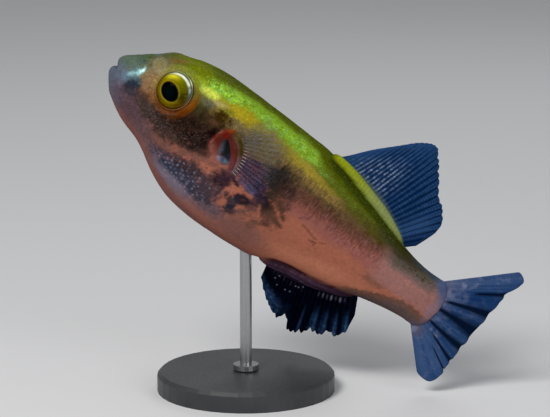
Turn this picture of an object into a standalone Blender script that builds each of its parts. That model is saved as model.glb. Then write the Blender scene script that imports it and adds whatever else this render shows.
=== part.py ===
"""Freshwater pufferfish: a life-size display model, nose up, held by a rod on a round base.

Lengths are millimetres until a mesh is made. The fish has its own frame: X runs from the
mouth to the tail, Y to the fish's right and Z to its back, with the origin in the corner
of the mouth. An empty pitches that frame nose up over the base, which stands on Z = 0.
"""
import math

import bmesh
import bpy
from mathutils import Matrix, Vector

MM = 0.001
GAP = 0.3                        # air left between two pieces that touch
LEFT, RIGHT = -1, 1
SIDES = ((LEFT, "left"), (RIGHT, "right"))

# ---- Pose and stand ----
NOSE_UP = math.radians(36.5)
MOUTH_PLACE = Vector((-25.4, 0.0, 65.6))
BASE_RADIUS = 18.0
BASE_THICKNESS = 4.0
BASE_EDGE = 0.7
ROD_RADIUS = 1.2
ROD_TOP = 33.5                   # inside the belly
ROD_DEPTH_IN_BASE = 2.2
COLLAR_RADIUS = 2.6
COLLAR_HEIGHT = 1.0
BELLY_SOCKET_DEPTH = 6.0
STAND_SIDES = 40
ROD_SIDES = 20

# ---- Outlines of the body, as (distance along, value) ----
BACK = [(0.0, 3.1), (1.0, 3.9), (4.0, 6.4), (9.0, 9.6), (16.0, 11.85), (26.0, 12.3),
        (40.0, 12.15), (44.5, 11.9), (52.0, 9.9), (60.0, 8.0), (67.4, 5.6), (74.0, 4.6),
        (80.4, 5.0)]
BELLY = [(0.0, -3.0), (1.0, -4.5), (2.0, -5.4), (6.0, -7.7), (12.0, -9.7), (18.0, -13.1),
         (23.0, -15.0), (30.0, -15.7), (42.0, -14.9), (47.0, -13.2), (52.0, -11.8),
         (60.0, -10.1), (68.0, -7.8), (75.0, -6.5), (80.4, -6.7)]
HALF_WIDTH = [(0.0, 2.0), (1.0, 2.8), (2.0, 3.4), (4.0, 4.4), (9.0, 6.3), (16.0, 8.0),
              (26.0, 9.1), (32.0, 9.0), (40.0, 8.0), (48.0, 6.6), (56.0, 5.2),
              (64.0, 3.8), (70.0, 2.9), (75.0, 2.2), (80.4, 1.3)]
WIDEST_AT = [(0.0, 0.0), (16.0, 0.8), (30.0, -2.0), (50.0, -2.4), (80.4, -0.8)]
ROUNDNESS_ABOVE = [(0.0, 2.1), (8.0, 2.7), (20.0, 2.5), (40.0, 2.35), (80.4, 2.1)]
ROUNDNESS_BELOW = 2.1            # 2 is an ellipse, more is squarer

# ---- Where the body is parted ----
LIPS_END = 1.8
HEAD_END = 23.0
TRUNK_END = 67.6
TAIL_END = 80.4
TAIL_ROUNDING = 2.8
TAIL_BLUNTNESS = 0.98            # share of the rounding where the tip is cut flat
RING_SIDES = 32
HEAD_RINGS = 17
TRUNK_RINGS = 20
TAIL_RINGS = 11

# ---- Lips, as (distance along, value) ----
LIP_HALF_WIDTH = [(-1.2, 0.75), (-0.9, 1.25), (0.0, 2.05), (1.0, 2.8), (2.0, 3.4)]
UPPER_LIP_TOP = [(-0.85, 1.9), (-0.55, 2.5), (0.0, 3.1), (1.0, 3.9), (2.0, 4.75)]
UPPER_LIP_FLOOR = [(-0.85, 1.25), (-0.55, 0.75), (0.0, 0.15), (2.0, 0.15)]
LOWER_LIP_ROOF = [(-1.2, -0.55), (-0.9, -0.25), (0.0, -0.15), (2.0, -0.15)]
LOWER_LIP_BOTTOM = [(-1.2, -1.0), (-0.9, -1.7), (0.0, -3.0), (1.0, -4.5), (2.0, -5.4)]
UPPER_LIP_FRONT = -0.85
LOWER_LIP_FRONT = -1.2
LIP_RINGS = 7
LIP_SIDES = 10

# ---- Eye ----
EYE_AT = (11.7, 4.45)            # along, up
EYE_RADIUS = 3.95
EYE_HALF_DEPTH = 3.1
EYE_SUNK = 1.5                   # middle of the eyeball below the skin
EYE_LOOKS_FORWARD = math.radians(14)
EYE_LOOKS_UP = math.radians(4)
ORBIT_SWELL = 0.6
ORBIT_SPREAD = 5.0
EYE_SEGMENTS = 20
EYE_RINGS = 12

# ---- Brow ridges, between the nostrils and the eyes ----
BROW_AT = (7.2, 3.3)             # along, sideways
BROW_LENGTH = 2.3
BROW_WIDTH = 1.7
BROW_RISE = 0.75

# ---- Nostril ----
NOSTRIL_AT = (6.3, 6.25)
NOSTRIL_RADIUS = 1.5
NOSTRIL_HEIGHT = 0.95
NOSTRIL_RIM_RADIUS = 1.2
NOSTRIL_PIT_RADIUS = 0.65
NOSTRIL_PIT_DEPTH = 0.4
NOSTRIL_ROUNDING = 0.2
NOSTRIL_ROOT = 1.0
NOSTRIL_SIDES = 16

# ---- Gill flap ----
GILL_AT = (27.1, 1.8)
GILL_LEANS_BACK = math.radians(34)
GILL_HALF_LENGTH = 4.25
GILL_HALF_BREADTH = 2.45
GILL_HALF_THICKNESS = 0.9
GILL_SUNK = 0.45
GILL_SEGMENTS = 16
GILL_RINGS = 10

# ---- Fleshy fin bases, as (distance along, value) ----
DORSAL_BASE_TOP = [(43.6, 11.9), (46.0, 12.65), (50.0, 12.2), (56.0, 10.7), (60.0, 9.5),
                   (64.0, 7.7), (67.2, 5.8)]
ANAL_BASE_TOP = [(44.2, -14.1), (47.0, -14.5), (52.0, -14.0), (56.0, -13.1),
                 (60.0, -11.7), (63.0, -10.5), (66.0, -8.4)]
DORSAL_BASE_HALF_WIDTH = 1.5
ANAL_BASE_HALF_WIDTH = 2.2
FIN_BASE_RIDGE = 1.6             # superellipse power of the ridge, under 2 is peaked
FIN_BASE_ROOT = 1.2
FIN_BASE_TAPER = (0.12, 0.92)    # its ends, as shares of the half wave that sets its width
FIN_BASE_RINGS = 13
FIN_BASE_SIDES = 10

# ---- Fins: tips as (share of the base, along, up) ----
FIN_THICKNESS = 0.55
FIN_PLEAT = 0.16
FIN_ROWS = 4
DORSAL_ROOT = (45.9, 67.0)
DORSAL_TIPS = [(0.0, 47.4, 13.8), (0.1, 50.2, 17.4), (0.2, 53.4, 20.8), (0.35, 57.2, 24.5),
               (0.5, 60.4, 25.4), (0.65, 63.8, 21.5), (0.75, 66.5, 17.8),
               (0.85, 69.3, 15.8), (0.93, 70.3, 12.2), (1.0, 68.8, 7.2)]
DORSAL_RAYS = 27
ANAL_ROOT = (47.2, 65.6)
ANAL_RAY_LENGTH = [(0.0, 4.5), (0.12, 9.0), (0.3, 12.2), (0.5, 14.0), (0.75, 13.6),
                   (0.92, 10.0), (1.0, 5.0)]
ANAL_LEAN = [(0.0, 14.0), (0.3, 12.0), (0.7, 18.0), (1.0, 28.0)]     # degrees back
ANAL_SWEEP = math.radians(42)    # the fin is beating to the fish's right
ANAL_RAYS = 23
CAUDAL_ROOT_HALF_HEIGHT = 5.6
CAUDAL_ROOT_MIDDLE = (77.0, -0.85)
CAUDAL_ROOT_BULGE = 2.6
CAUDAL_TIPS = [(0.0, 89.0, 16.0), (0.07, 90.4, 14.0), (0.2, 89.3, 10.3), (0.4, 89.2, 4.0),
               (0.55, 89.0, -1.6), (0.7, 88.9, -5.6), (0.82, 88.8, -9.2),
               (0.92, 89.0, -11.8), (0.97, 88.2, -14.2), (1.0, 86.0, -14.9)]
CAUDAL_RAYS = 23
PECTORAL_ROOT = [(0.0, 27.3, 5.9), (0.25, 28.9, 5.3), (0.5, 30.2, 3.4), (0.75, 31.0, 1.0),
                 (1.0, 31.1, -1.5)]
PECTORAL_TIPS = [(0.0, 29.6, 12.5), (0.2, 33.5, 11.1), (0.35, 36.1, 9.1), (0.5, 37.45, 6.3),
                 (0.68, 37.65, 2.7), (0.84, 37.65, -0.1), (1.0, 37.2, -2.9)]
PECTORAL_SPREAD = math.radians(14)
PECTORAL_TURN = {LEFT: 0.0, RIGHT: math.radians(35)}     # the right fin is swung back
PECTORAL_RAYS = 15

# ---- Colours, as 0-255 sRGB ----
COLOURS = {
    "head": (112, 108, 52), "upper_lip": (118, 124, 108), "lower_lip": (112, 108, 106),
    "nostril": (140, 138, 96), "eye": (150, 140, 22), "gill_flap": (112, 46, 34),
    "trunk": (150, 112, 70), "tail_stalk": (146, 104, 88),
    "dorsal_fin_base": (132, 140, 40), "dorsal_fin": (46, 72, 112),
    "anal_fin_base": (66, 46, 56), "anal_fin": (34, 48, 84),
    "caudal_fin": (70, 90, 120), "pectoral_fin": (112, 106, 116),
    "stand_base": (38, 39, 41), "stand_rod": (150, 152, 154),
}


# ======== Small helpers ========

def curve(points, x):
    """Value at x of a smooth line through points (x, value), held level past its ends."""
    if x <= points[0][0]:
        return points[0][1]
    if x >= points[-1][0]:
        return points[-1][1]
    index = max(i for i, point in enumerate(points[:-1]) if point[0] <= x)
    (x0, v0), (x1, v1) = points[index], points[index + 1]

    def slope(i):
        before, after = points[max(i - 1, 0)], points[min(i + 1, len(points) - 1)]
        return (after[1] - before[1]) / (after[0] - before[0])

    span = x1 - x0
    t = (x - x0) / span
    return (v0 * (1 + 2 * t) * (1 - t) ** 2 + slope(index) * span * t * (1 - t) ** 2
            + v1 * t * t * (3 - 2 * t) - slope(index + 1) * span * t * t * (1 - t))


def line_at(points, share):
    """Place (along, up) on a smooth line through points (share, along, up)."""
    along = curve([(point[0], point[1]) for point in points], share)
    up = curve([(point[0], point[2]) for point in points], share)
    return along, up


def signed_power(value, power):
    return math.copysign(abs(value) ** power, value)


def evenly(start, end, count, ease=1.0):
    """Count places from start to end, closer together at the start where ease is over 1."""
    return [start + (end - start) * (i / (count - 1)) ** ease for i in range(count)]


def material(name, roughness=0.45, metallic=0.0):
    made = bpy.data.materials.get(name) or bpy.data.materials.new(name)
    made.use_nodes = True
    shader = made.node_tree.nodes["Principled BSDF"]
    colour = [(level / 255) ** 2.2 for level in COLOURS[name]]
    shader.inputs["Base Color"].default_value = (*colour, 1.0)
    shader.inputs["Roughness"].default_value = roughness
    shader.inputs["Metallic"].default_value = metallic
    return made


def new_object(name, mesh, collection, parent=None):
    made = bpy.data.objects.new(name, mesh)
    collection.objects.link(made)
    made.parent = parent
    return made


def mesh_from(work, name, smooth=True):
    """Mesh from a bmesh in millimetres, faces turned outward."""
    bmesh.ops.recalc_face_normals(work, faces=work.faces)
    bmesh.ops.scale(work, vec=(MM, MM, MM), verts=work.verts)
    for face in work.faces:
        face.smooth = smooth and len(face.verts) <= 4
    mesh = bpy.data.meshes.new(name)
    work.to_mesh(mesh)
    work.free()
    return mesh


def loft(rings, name):
    """Closed solid through rings of equally many corners, capped at both ends."""
    work = bmesh.new()
    loops = [[work.verts.new(corner) for corner in ring] for ring in rings]
    for near, far in zip(loops, loops[1:]):
        for i in range(len(near)):
            j = (i + 1) % len(near)
            work.faces.new((near[i], near[j], far[j], far[i]))
    work.faces.new(loops[0][::-1])
    work.faces.new(loops[-1])
    return mesh_from(work, name)


def cut_with(piece, cutter):
    boolean = piece.modifiers.new("cut_" + cutter.name, "BOOLEAN")
    boolean.operation = "DIFFERENCE"
    boolean.solver = "EXACT"
    boolean.object = cutter


def make_cutter(cutter):
    cutter.hide_render = True
    cutter.display_type = "WIRE"
    return cutter


# ======== The body's own surface ========

def swollen(along, y, z):
    """A corner of the plain section, moved out over the eyeballs and up over the brows."""
    away = math.hypot(along - EYE_AT[0], z - EYE_AT[1]) / ORBIT_SPREAD
    flank = min(abs(y) / curve(HALF_WIDTH, along), 1.0)
    out = ORBIT_SWELL * math.exp(-away ** 2) * flank
    fore_aft = (along - BROW_AT[0]) / BROW_LENGTH
    across = (abs(y) - BROW_AT[1]) / BROW_WIDTH
    lift = BROW_RISE * math.exp(-fore_aft ** 2 - across ** 2) if z > 0 else 0.0
    return Vector((along, y + math.copysign(out, y), z + lift))


def body_ring(along, grow=0.0):
    """One cross-section of the body, grown outward by grow."""
    middle = curve(WIDEST_AT, along)
    rise = curve(BACK, along) - middle
    drop = middle - curve(BELLY, along)
    wide = curve(HALF_WIDTH, along)
    past = (along - (TAIL_END - TAIL_ROUNDING)) / TAIL_ROUNDING
    rounding = math.sqrt(1.0 - min(max(past, 0.0), TAIL_BLUNTNESS) ** 2)
    ring = []
    for step in range(RING_SIDES):
        angle = 2 * math.pi * (step + 0.5) / RING_SIDES
        above = math.sin(angle) > 0
        power = 2 / (curve(ROUNDNESS_ABOVE, along) if above else ROUNDNESS_BELOW)
        reach = (rise if above else drop) * rounding + grow
        y = (wide * rounding ** 0.5 + grow) * signed_power(math.cos(angle), power)
        z = middle + reach * signed_power(math.sin(angle), power)
        ring.append(swollen(along, y, z))
    return ring


def skin_at(along, up):
    """Distance of the skin from the middle plane at a place seen from the side."""
    flank = sorted((corner for corner in body_ring(along) if corner.y > 0),
                   key=lambda corner: corner.z)
    for low, high in zip(flank, flank[1:]):
        if low.z <= up <= high.z:
            return low.lerp(high, (up - low.z) / (high.z - low.z)).y
    return flank[0].y if up < flank[0].z else flank[-1].y


def skin_normal(along, up, side):
    """Outward direction of the skin at a place on one side of the fish."""
    step = 0.2
    fore_aft = (skin_at(along + step, up) - skin_at(along - step, up)) / (2 * step)
    rise = (skin_at(along, up + step) - skin_at(along, up - step)) / (2 * step)
    return Vector((-fore_aft, side, -rise)).normalized()


# ======== Pieces ========

def make_body(parts, pose):
    head = new_object("head", loft(
        [body_ring(a) for a in evenly(LIPS_END + GAP / 2, HEAD_END - GAP / 2,
                                      HEAD_RINGS, 1.25)], "head"), parts, pose)
    trunk = new_object("trunk", loft(
        [body_ring(a) for a in evenly(HEAD_END + GAP / 2, TRUNK_END - GAP / 2,
                                      TRUNK_RINGS)], "trunk"), parts, pose)
    tail = new_object("tail_stalk", loft(
        [body_ring(a) for a in evenly(TAIL_END, TRUNK_END + GAP / 2,
                                      TAIL_RINGS, 1.5)], "tail_stalk"), parts, pose)
    for piece in (head, trunk, tail):
        piece.data.materials.append(material(piece.name, 0.42))
    return head, trunk, tail


def make_body_clearance(cutters, pose):
    """The whole body grown by the gap, to trim what stands on the skin."""
    stations = evenly(LIPS_END, TAIL_END - TAIL_ROUNDING, 46, 1.1)
    stations += evenly(TAIL_END - TAIL_ROUNDING, TAIL_END + GAP, 8)[1:]
    mesh = loft([body_ring(a, GAP) for a in stations], "body_clearance")
    return make_cutter(new_object("body_clearance", mesh, cutters, pose))


def lip_ring(along, outer_line, inner_line):
    """D-shaped section: a curved outer side closed by the flat of the mouth slit."""
    outer, inner = curve(outer_line, along), curve(inner_line, along)
    wide = curve(LIP_HALF_WIDTH, along)
    ring = []
    for step in range(LIP_SIDES + 1):
        angle = math.pi * step / LIP_SIDES
        reach = (outer - inner) * signed_power(math.sin(angle), 2 / ROUNDNESS_BELOW)
        ring.append(Vector((along, wide * math.cos(angle), inner + reach)))
    return ring


def make_lip(name, front, outer_line, inner_line, parts, pose):
    stations = evenly(front, LIPS_END - GAP / 2, LIP_RINGS, 1.4)
    mesh = loft([lip_ring(a, outer_line, inner_line) for a in stations], name)
    piece = new_object(name, mesh, parts, pose)
    piece.data.materials.append(material(name, 0.35))


def flattened_ball(name, radii, segments, rings, turn, middle, collection, pose):
    """Ellipsoid whose third radius points along its own outward direction."""
    work = bmesh.new()
    bmesh.ops.create_uvsphere(work, u_segments=segments, v_segments=rings, radius=1.0)
    bmesh.ops.scale(work, vec=radii, verts=work.verts)
    piece = new_object(name, mesh_from(work, name), collection, pose)
    piece.matrix_local = Matrix.Translation(middle * MM) @ turn.to_matrix().to_4x4()
    return piece


def eye_place(side):
    """Middle of the eyeball and the way it looks."""
    looks = Vector((-math.sin(EYE_LOOKS_FORWARD), side, math.sin(EYE_LOOKS_UP))).normalized()
    skin = Vector((EYE_AT[0], side * skin_at(*EYE_AT), EYE_AT[1]))
    return skin - looks * EYE_SUNK, looks


def make_eye(side, side_name, head, parts, cutters, pose):
    middle, looks = eye_place(side)
    turn = looks.to_track_quat("Z", "Y")
    eye = flattened_ball("eye_" + side_name, (EYE_RADIUS, EYE_RADIUS, EYE_HALF_DEPTH),
                         EYE_SEGMENTS, EYE_RINGS, turn, middle, parts, pose)
    eye.data.materials.append(material("eye", 0.12))
    socket = flattened_ball("socket_" + side_name,
                            (EYE_RADIUS + GAP, EYE_RADIUS + GAP, EYE_HALF_DEPTH + GAP),
                            EYE_SEGMENTS, EYE_RINGS, turn, middle, cutters, pose)
    cut_with(head, make_cutter(socket))


def turned(name, profile, sides, collection, parent=None):
    """Solid of revolution from a (radius, height) profile that runs down its outer side."""
    work = bmesh.new()
    corners = [work.verts.new((radius, 0.0, height)) for radius, height in profile]
    for upper, lower in zip(corners, corners[1:]):
        work.edges.new((upper, lower))
    bmesh.ops.scale(work, vec=(MM, MM, MM), verts=work.verts)
    mesh = bpy.data.meshes.new(name)
    work.to_mesh(mesh)
    work.free()
    piece = new_object(name, mesh, collection, parent)
    screw = piece.modifiers.new("turned", "SCREW")
    screw.steps = sides
    screw.render_steps = sides
    screw.use_merge_vertices = True
    screw.merge_threshold = 0.00001
    screw.use_smooth_shade = True
    return piece


def make_nostril(side, side_name, parts, pose, clearance):
    """Low round mound with a pit in its top; its root is trimmed off at the skin."""
    floor = NOSTRIL_HEIGHT - NOSTRIL_PIT_DEPTH
    shoulder = NOSTRIL_HEIGHT - NOSTRIL_ROUNDING
    profile = [(0.0, floor), (NOSTRIL_PIT_RADIUS - NOSTRIL_ROUNDING, floor),
               (NOSTRIL_PIT_RADIUS, shoulder),
               (NOSTRIL_PIT_RADIUS + NOSTRIL_ROUNDING, NOSTRIL_HEIGHT),
               (NOSTRIL_RIM_RADIUS, shoulder), (NOSTRIL_RADIUS, GAP),
               (NOSTRIL_RADIUS, -NOSTRIL_ROOT), (0.0, -NOSTRIL_ROOT)]
    piece = turned("nostril_" + side_name, profile, NOSTRIL_SIDES, parts, pose)
    place = Vector((NOSTRIL_AT[0], side * skin_at(*NOSTRIL_AT), NOSTRIL_AT[1]))
    turn = skin_normal(*NOSTRIL_AT, side).to_track_quat("Z", "Y")
    piece.matrix_local = Matrix.Translation(place * MM) @ turn.to_matrix().to_4x4()
    piece.data.materials.append(material("nostril", 0.4))
    cut_with(piece, clearance)


def make_gill_flap(side, side_name, trunk, parts, cutters, pose):
    """Oval flap in its own hollow, its long side leaning back from the vertical."""
    normal = skin_normal(*GILL_AT, side)
    lengthwise = Vector((math.sin(GILL_LEANS_BACK), 0.0, -math.cos(GILL_LEANS_BACK)))
    lengthwise = (lengthwise - normal * lengthwise.dot(normal)).normalized()
    turn = Matrix((lengthwise, normal.cross(lengthwise), normal)).transposed().to_quaternion()
    skin = Vector((GILL_AT[0], side * skin_at(*GILL_AT), GILL_AT[1]))
    middle = skin - normal * GILL_SUNK
    radii = (GILL_HALF_LENGTH, GILL_HALF_BREADTH, GILL_HALF_THICKNESS)
    flap = flattened_ball("gill_flap_" + side_name, radii, GILL_SEGMENTS, GILL_RINGS,
                          turn, middle, parts, pose)
    flap.data.materials.append(material("gill_flap", 0.35))
    hollow = flattened_ball("gill_hollow_" + side_name, [r + GAP for r in radii],
                            GILL_SEGMENTS, GILL_RINGS, turn, middle, cutters, pose)
    cut_with(trunk, make_cutter(hollow))


def make_fin_base(name, top_line, half_width, body_line, way, parts, pose, clearance):
    """Fleshy ridge that carries a fin; way is 1 on the back and -1 on the belly."""
    rings = []
    start, end = top_line[0][0], top_line[-1][0]
    for along in evenly(start, end, FIN_BASE_RINGS):
        share = (along - start) / (end - start)
        wave = FIN_BASE_TAPER[0] + share * (FIN_BASE_TAPER[1] - FIN_BASE_TAPER[0])
        wide = half_width * math.sin(math.pi * wave) ** 0.5
        root = curve(body_line, along) - way * FIN_BASE_ROOT
        height = curve(top_line, along) - root
        ring = []
        for step in range(FIN_BASE_SIDES + 1):
            angle = math.pi * step / FIN_BASE_SIDES
            y = wide * signed_power(math.cos(angle), 2 / FIN_BASE_RIDGE)
            ring.append(Vector((along, y, root + height * abs(math.sin(angle)))))
        rings.append(ring)
    piece = new_object(name, loft(rings, name), parts, pose)
    piece.data.materials.append(material(name, 0.42))
    cut_with(piece, clearance)


def make_fin(name, root_at, tip_at, rays, pleat_way, colour, parts, pose):
    """Pleated sheet from a root line to a tip line, with a column to each ray."""
    work = bmesh.new()
    bmesh.ops.create_grid(work, x_segments=rays - 1, y_segments=FIN_ROWS, size=1.0)
    for vert in work.verts:
        share = (vert.co.x + 1) / 2
        outward = (vert.co.y + 1) / 2
        column = round(share * (rays - 1))
        pleat = FIN_PLEAT * (-1) ** column * min(2 * outward, 1.0)
        vert.co = root_at(share).lerp(tip_at(share), outward) + pleat_way * pleat
    piece = new_object(name, mesh_from(work, name), parts, pose)
    solid = piece.modifiers.new("thickness", "SOLIDIFY")
    solid.thickness = FIN_THICKNESS * MM
    solid.offset = 0.0
    piece.data.materials.append(material(colour, 0.35))
    return piece


def make_dorsal_fin(parts, pose):
    def root_at(share):
        along = DORSAL_ROOT[0] + share * (DORSAL_ROOT[1] - DORSAL_ROOT[0])
        return Vector((along, 0.0, curve(DORSAL_BASE_TOP, along) + GAP))

    def tip_at(share):
        along, up = line_at(DORSAL_TIPS, share)
        return Vector((along, 0.0, up))

    return make_fin("dorsal_fin", root_at, tip_at, DORSAL_RAYS, Vector((0, 1, 0)),
                    "dorsal_fin", parts, pose)


def make_anal_fin(parts, pose):
    """The fin hangs from its base, swept to the right by the fin's beat."""
    def root_at(share):
        along = ANAL_ROOT[0] + share * (ANAL_ROOT[1] - ANAL_ROOT[0])
        return Vector((along, 0.0, curve(ANAL_BASE_TOP, along) - GAP))

    def tip_at(share):
        lean = math.radians(curve(ANAL_LEAN, share))
        length = curve(ANAL_RAY_LENGTH, share)
        down = length * math.cos(lean)
        return root_at(share) + Vector((length * math.sin(lean), down * math.sin(ANAL_SWEEP),
                                        -down * math.cos(ANAL_SWEEP)))

    pleat_way = Vector((0.0, math.cos(ANAL_SWEEP), math.sin(ANAL_SWEEP)))
    return make_fin("anal_fin", root_at, tip_at, ANAL_RAYS, pleat_way, "anal_fin",
                    parts, pose)


def make_caudal_fin(parts, pose, clearance):
    """The fan starts inside the tail stalk and is trimmed to its rounded end."""
    def root_at(share):
        across = 1 - 2 * share
        along = CAUDAL_ROOT_MIDDLE[0] + CAUDAL_ROOT_BULGE * math.sqrt(1 - across ** 2)
        return Vector((along, 0.0, CAUDAL_ROOT_MIDDLE[1] + across * CAUDAL_ROOT_HALF_HEIGHT))

    def tip_at(share):
        along, up = line_at(CAUDAL_TIPS, share)
        return Vector((along, 0.0, up))

    fin = make_fin("caudal_fin", root_at, tip_at, CAUDAL_RAYS, Vector((0, 1, 0)),
                   "caudal_fin", parts, pose)
    cut_with(fin, clearance)


def make_pectoral_fin(side, side_name, parts, pose):
    """Fan behind the gill, standing a little off the flank."""
    off_skin = GAP + FIN_THICKNESS / 2

    def root_at(share):
        along, up = line_at(PECTORAL_ROOT, share)
        return Vector((along, side * (skin_at(along, up) + off_skin), up))

    def tip_at(share):
        root = root_at(share)
        along, up = line_at(PECTORAL_TIPS, share)
        ray = Vector((along - root.x, 0.0, up - root.z))
        ray.y = side * ray.length * math.sin(PECTORAL_SPREAD)
        ray.rotate(Matrix.Rotation(PECTORAL_TURN[side], 3, "Y"))
        return root + ray

    make_fin("pectoral_fin_" + side_name, root_at, tip_at, PECTORAL_RAYS,
             Vector((0, 1, 0)), "pectoral_fin", parts, pose)


def make_stand(parts, cutters, trunk):
    base = turned("stand_base", [
        (0.0, BASE_THICKNESS), (BASE_RADIUS - BASE_EDGE, BASE_THICKNESS),
        (BASE_RADIUS, BASE_THICKNESS - BASE_EDGE), (BASE_RADIUS, 0.0), (0.0, 0.0)],
        STAND_SIDES, parts)
    base.data.materials.append(material("stand_base", 0.5))
    foot = BASE_THICKNESS - ROD_DEPTH_IN_BASE
    collar_floor = BASE_THICKNESS + GAP
    rod = turned("stand_rod", [
        (0.0, ROD_TOP), (ROD_RADIUS, ROD_TOP),
        (ROD_RADIUS, collar_floor + COLLAR_HEIGHT),
        (COLLAR_RADIUS, collar_floor + COLLAR_HEIGHT), (COLLAR_RADIUS, collar_floor),
        (ROD_RADIUS, collar_floor), (ROD_RADIUS, foot), (0.0, foot)], ROD_SIDES, parts)
    rod.data.materials.append(material("stand_rod", 0.3, 1.0))
    for name, lowest, highest, piece in (
            ("base_socket", foot - GAP, BASE_THICKNESS + 1.0, base),
            ("belly_socket", ROD_TOP - BELLY_SOCKET_DEPTH, ROD_TOP + GAP, trunk)):
        radius = ROD_RADIUS + GAP
        cutter = turned(name, [(0.0, highest), (radius, highest), (radius, lowest),
                               (0.0, lowest)], ROD_SIDES, cutters)
        cut_with(piece, make_cutter(cutter))


# ======== Build ========

def main():
    for old in list(bpy.data.objects):
        bpy.data.objects.remove(old)
    parts = bpy.data.collections.new("freshwater_pufferfish")
    cutters = bpy.data.collections.new("cutters")
    for collection in (parts, cutters):
        bpy.context.scene.collection.children.link(collection)
    pose = new_object("fish_pose", None, parts)
    pose.matrix_local = Matrix.Translation(MOUTH_PLACE * MM) @ Matrix.Rotation(NOSE_UP, 4, "Y")

    head, trunk, _ = make_body(parts, pose)
    clearance = make_body_clearance(cutters, pose)
    make_lip("upper_lip", UPPER_LIP_FRONT, UPPER_LIP_TOP, UPPER_LIP_FLOOR, parts, pose)
    make_lip("lower_lip", LOWER_LIP_FRONT, LOWER_LIP_BOTTOM, LOWER_LIP_ROOF, parts, pose)
    make_fin_base("dorsal_fin_base", DORSAL_BASE_TOP, DORSAL_BASE_HALF_WIDTH, BACK, 1,
                  parts, pose, clearance)
    make_fin_base("anal_fin_base", ANAL_BASE_TOP, ANAL_BASE_HALF_WIDTH, BELLY, -1,
                  parts, pose, clearance)
    make_dorsal_fin(parts, pose)
    make_anal_fin(parts, pose)
    make_caudal_fin(parts, pose, clearance)
    for side, side_name in SIDES:
        make_eye(side, side_name, head, parts, cutters, pose)
        make_nostril(side, side_name, parts, pose, clearance)
        make_gill_flap(side, side_name, trunk, parts, cutters, pose)
        make_pectoral_fin(side, side_name, parts, pose)
    make_stand(parts, cutters, trunk)


main()
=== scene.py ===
import itertools
import math

import bmesh
import bpy
import numpy as np
from mathutils import Matrix, Vector


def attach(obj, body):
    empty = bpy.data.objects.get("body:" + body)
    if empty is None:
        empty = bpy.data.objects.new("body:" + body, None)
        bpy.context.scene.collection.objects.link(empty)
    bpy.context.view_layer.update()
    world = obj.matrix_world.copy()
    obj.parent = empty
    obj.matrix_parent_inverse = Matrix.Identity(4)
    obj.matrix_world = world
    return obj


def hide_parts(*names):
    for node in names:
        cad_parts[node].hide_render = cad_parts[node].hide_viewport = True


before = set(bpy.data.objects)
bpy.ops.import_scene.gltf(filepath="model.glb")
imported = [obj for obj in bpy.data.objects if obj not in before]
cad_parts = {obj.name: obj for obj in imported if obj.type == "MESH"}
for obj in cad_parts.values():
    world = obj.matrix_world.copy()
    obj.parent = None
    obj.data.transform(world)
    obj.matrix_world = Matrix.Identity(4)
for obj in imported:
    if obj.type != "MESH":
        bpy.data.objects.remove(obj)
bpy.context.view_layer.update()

# Freshwater pufferfish: one painted skin in place of the body's fleshy solids, detailed eyes,
# gills and fins, coats of tiny spines and dots, and finishes for the stand.
#
# Lengths are millimetres in the fish's own frame until a mesh is finished: X runs from the mouth
# to the tail, Y to the fish's right and Z to its back. FISH pitches that frame nose up.
# Markings are laid in two side coordinates that both flanks share: p runs from the mouth to the
# tail and q from the belly to the back.

MM = 0.001
FULL_TURN = 2 * math.pi
BODY = "root"
NOSE_UP = math.radians(36.5)
MOUTH_PLACE = Vector((-25.4, 0.0, 65.6))
FISH = (Matrix.Translation(MOUTH_PLACE * MM) @ Matrix.Rotation(NOSE_UP, 4, "Y")
        @ Matrix.Scale(MM, 4))
LEFT, RIGHT = -1, 1
SIDES = ((LEFT, "left"), (RIGHT, "right"))
SIDE_MIDDLE = (41.9, -4.0)       # where p and q agree with the plain side view
SIDE_SPREAD = 0.00195            # p and q spread by this for each millimetre a place stands out
SIDE_SHIFT, SIDE_DROP = 0.056, 0.206     # p grows and q falls by these for each such millimetre
SIDE_HEIGHT = 0.978              # share of its height that a place keeps in q

# ---- Outlines of the body, as (distance along, value) ----
BACK = [(0.0, 3.1), (1.0, 3.9), (4.0, 6.4), (9.0, 9.6), (16.0, 11.85), (26.0, 12.3),
        (40.0, 12.15), (44.5, 11.9), (52.0, 9.9), (60.0, 8.0), (67.4, 5.6), (74.0, 4.6),
        (80.4, 5.0)]
BELLY = [(0.0, -3.0), (1.0, -4.5), (2.0, -5.4), (6.0, -7.7), (12.0, -9.7), (18.0, -13.1),
         (23.0, -15.0), (30.0, -15.7), (42.0, -14.9), (47.0, -13.2), (52.0, -11.8),
         (60.0, -10.1), (68.0, -7.8), (75.0, -6.5), (80.4, -6.7)]
HALF_WIDTH = [(0.0, 2.0), (1.0, 2.8), (2.0, 3.4), (4.0, 4.4), (9.0, 6.3), (16.0, 8.0),
              (26.0, 9.1), (32.0, 9.0), (40.0, 8.0), (48.0, 6.6), (56.0, 5.2),
              (64.0, 3.8), (70.0, 2.8), (75.0, 2.0), (78.0, 1.3), (80.4, 0.7)]
WIDEST_AT = [(0.0, 0.0), (16.0, 0.8), (30.0, -2.0), (50.0, -2.4), (80.4, -0.8)]
ROUNDNESS_ABOVE = [(0.0, 2.1), (8.0, 2.7), (20.0, 2.5), (40.0, 2.35), (80.4, 2.1)]
ROUNDNESS_BELOW = 2.1
TAIL_END = 80.4
TAIL_ROUNDING = 2.8
SKIN_DEPTH = 0.08                # the skin lies this far inside the solids

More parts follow.
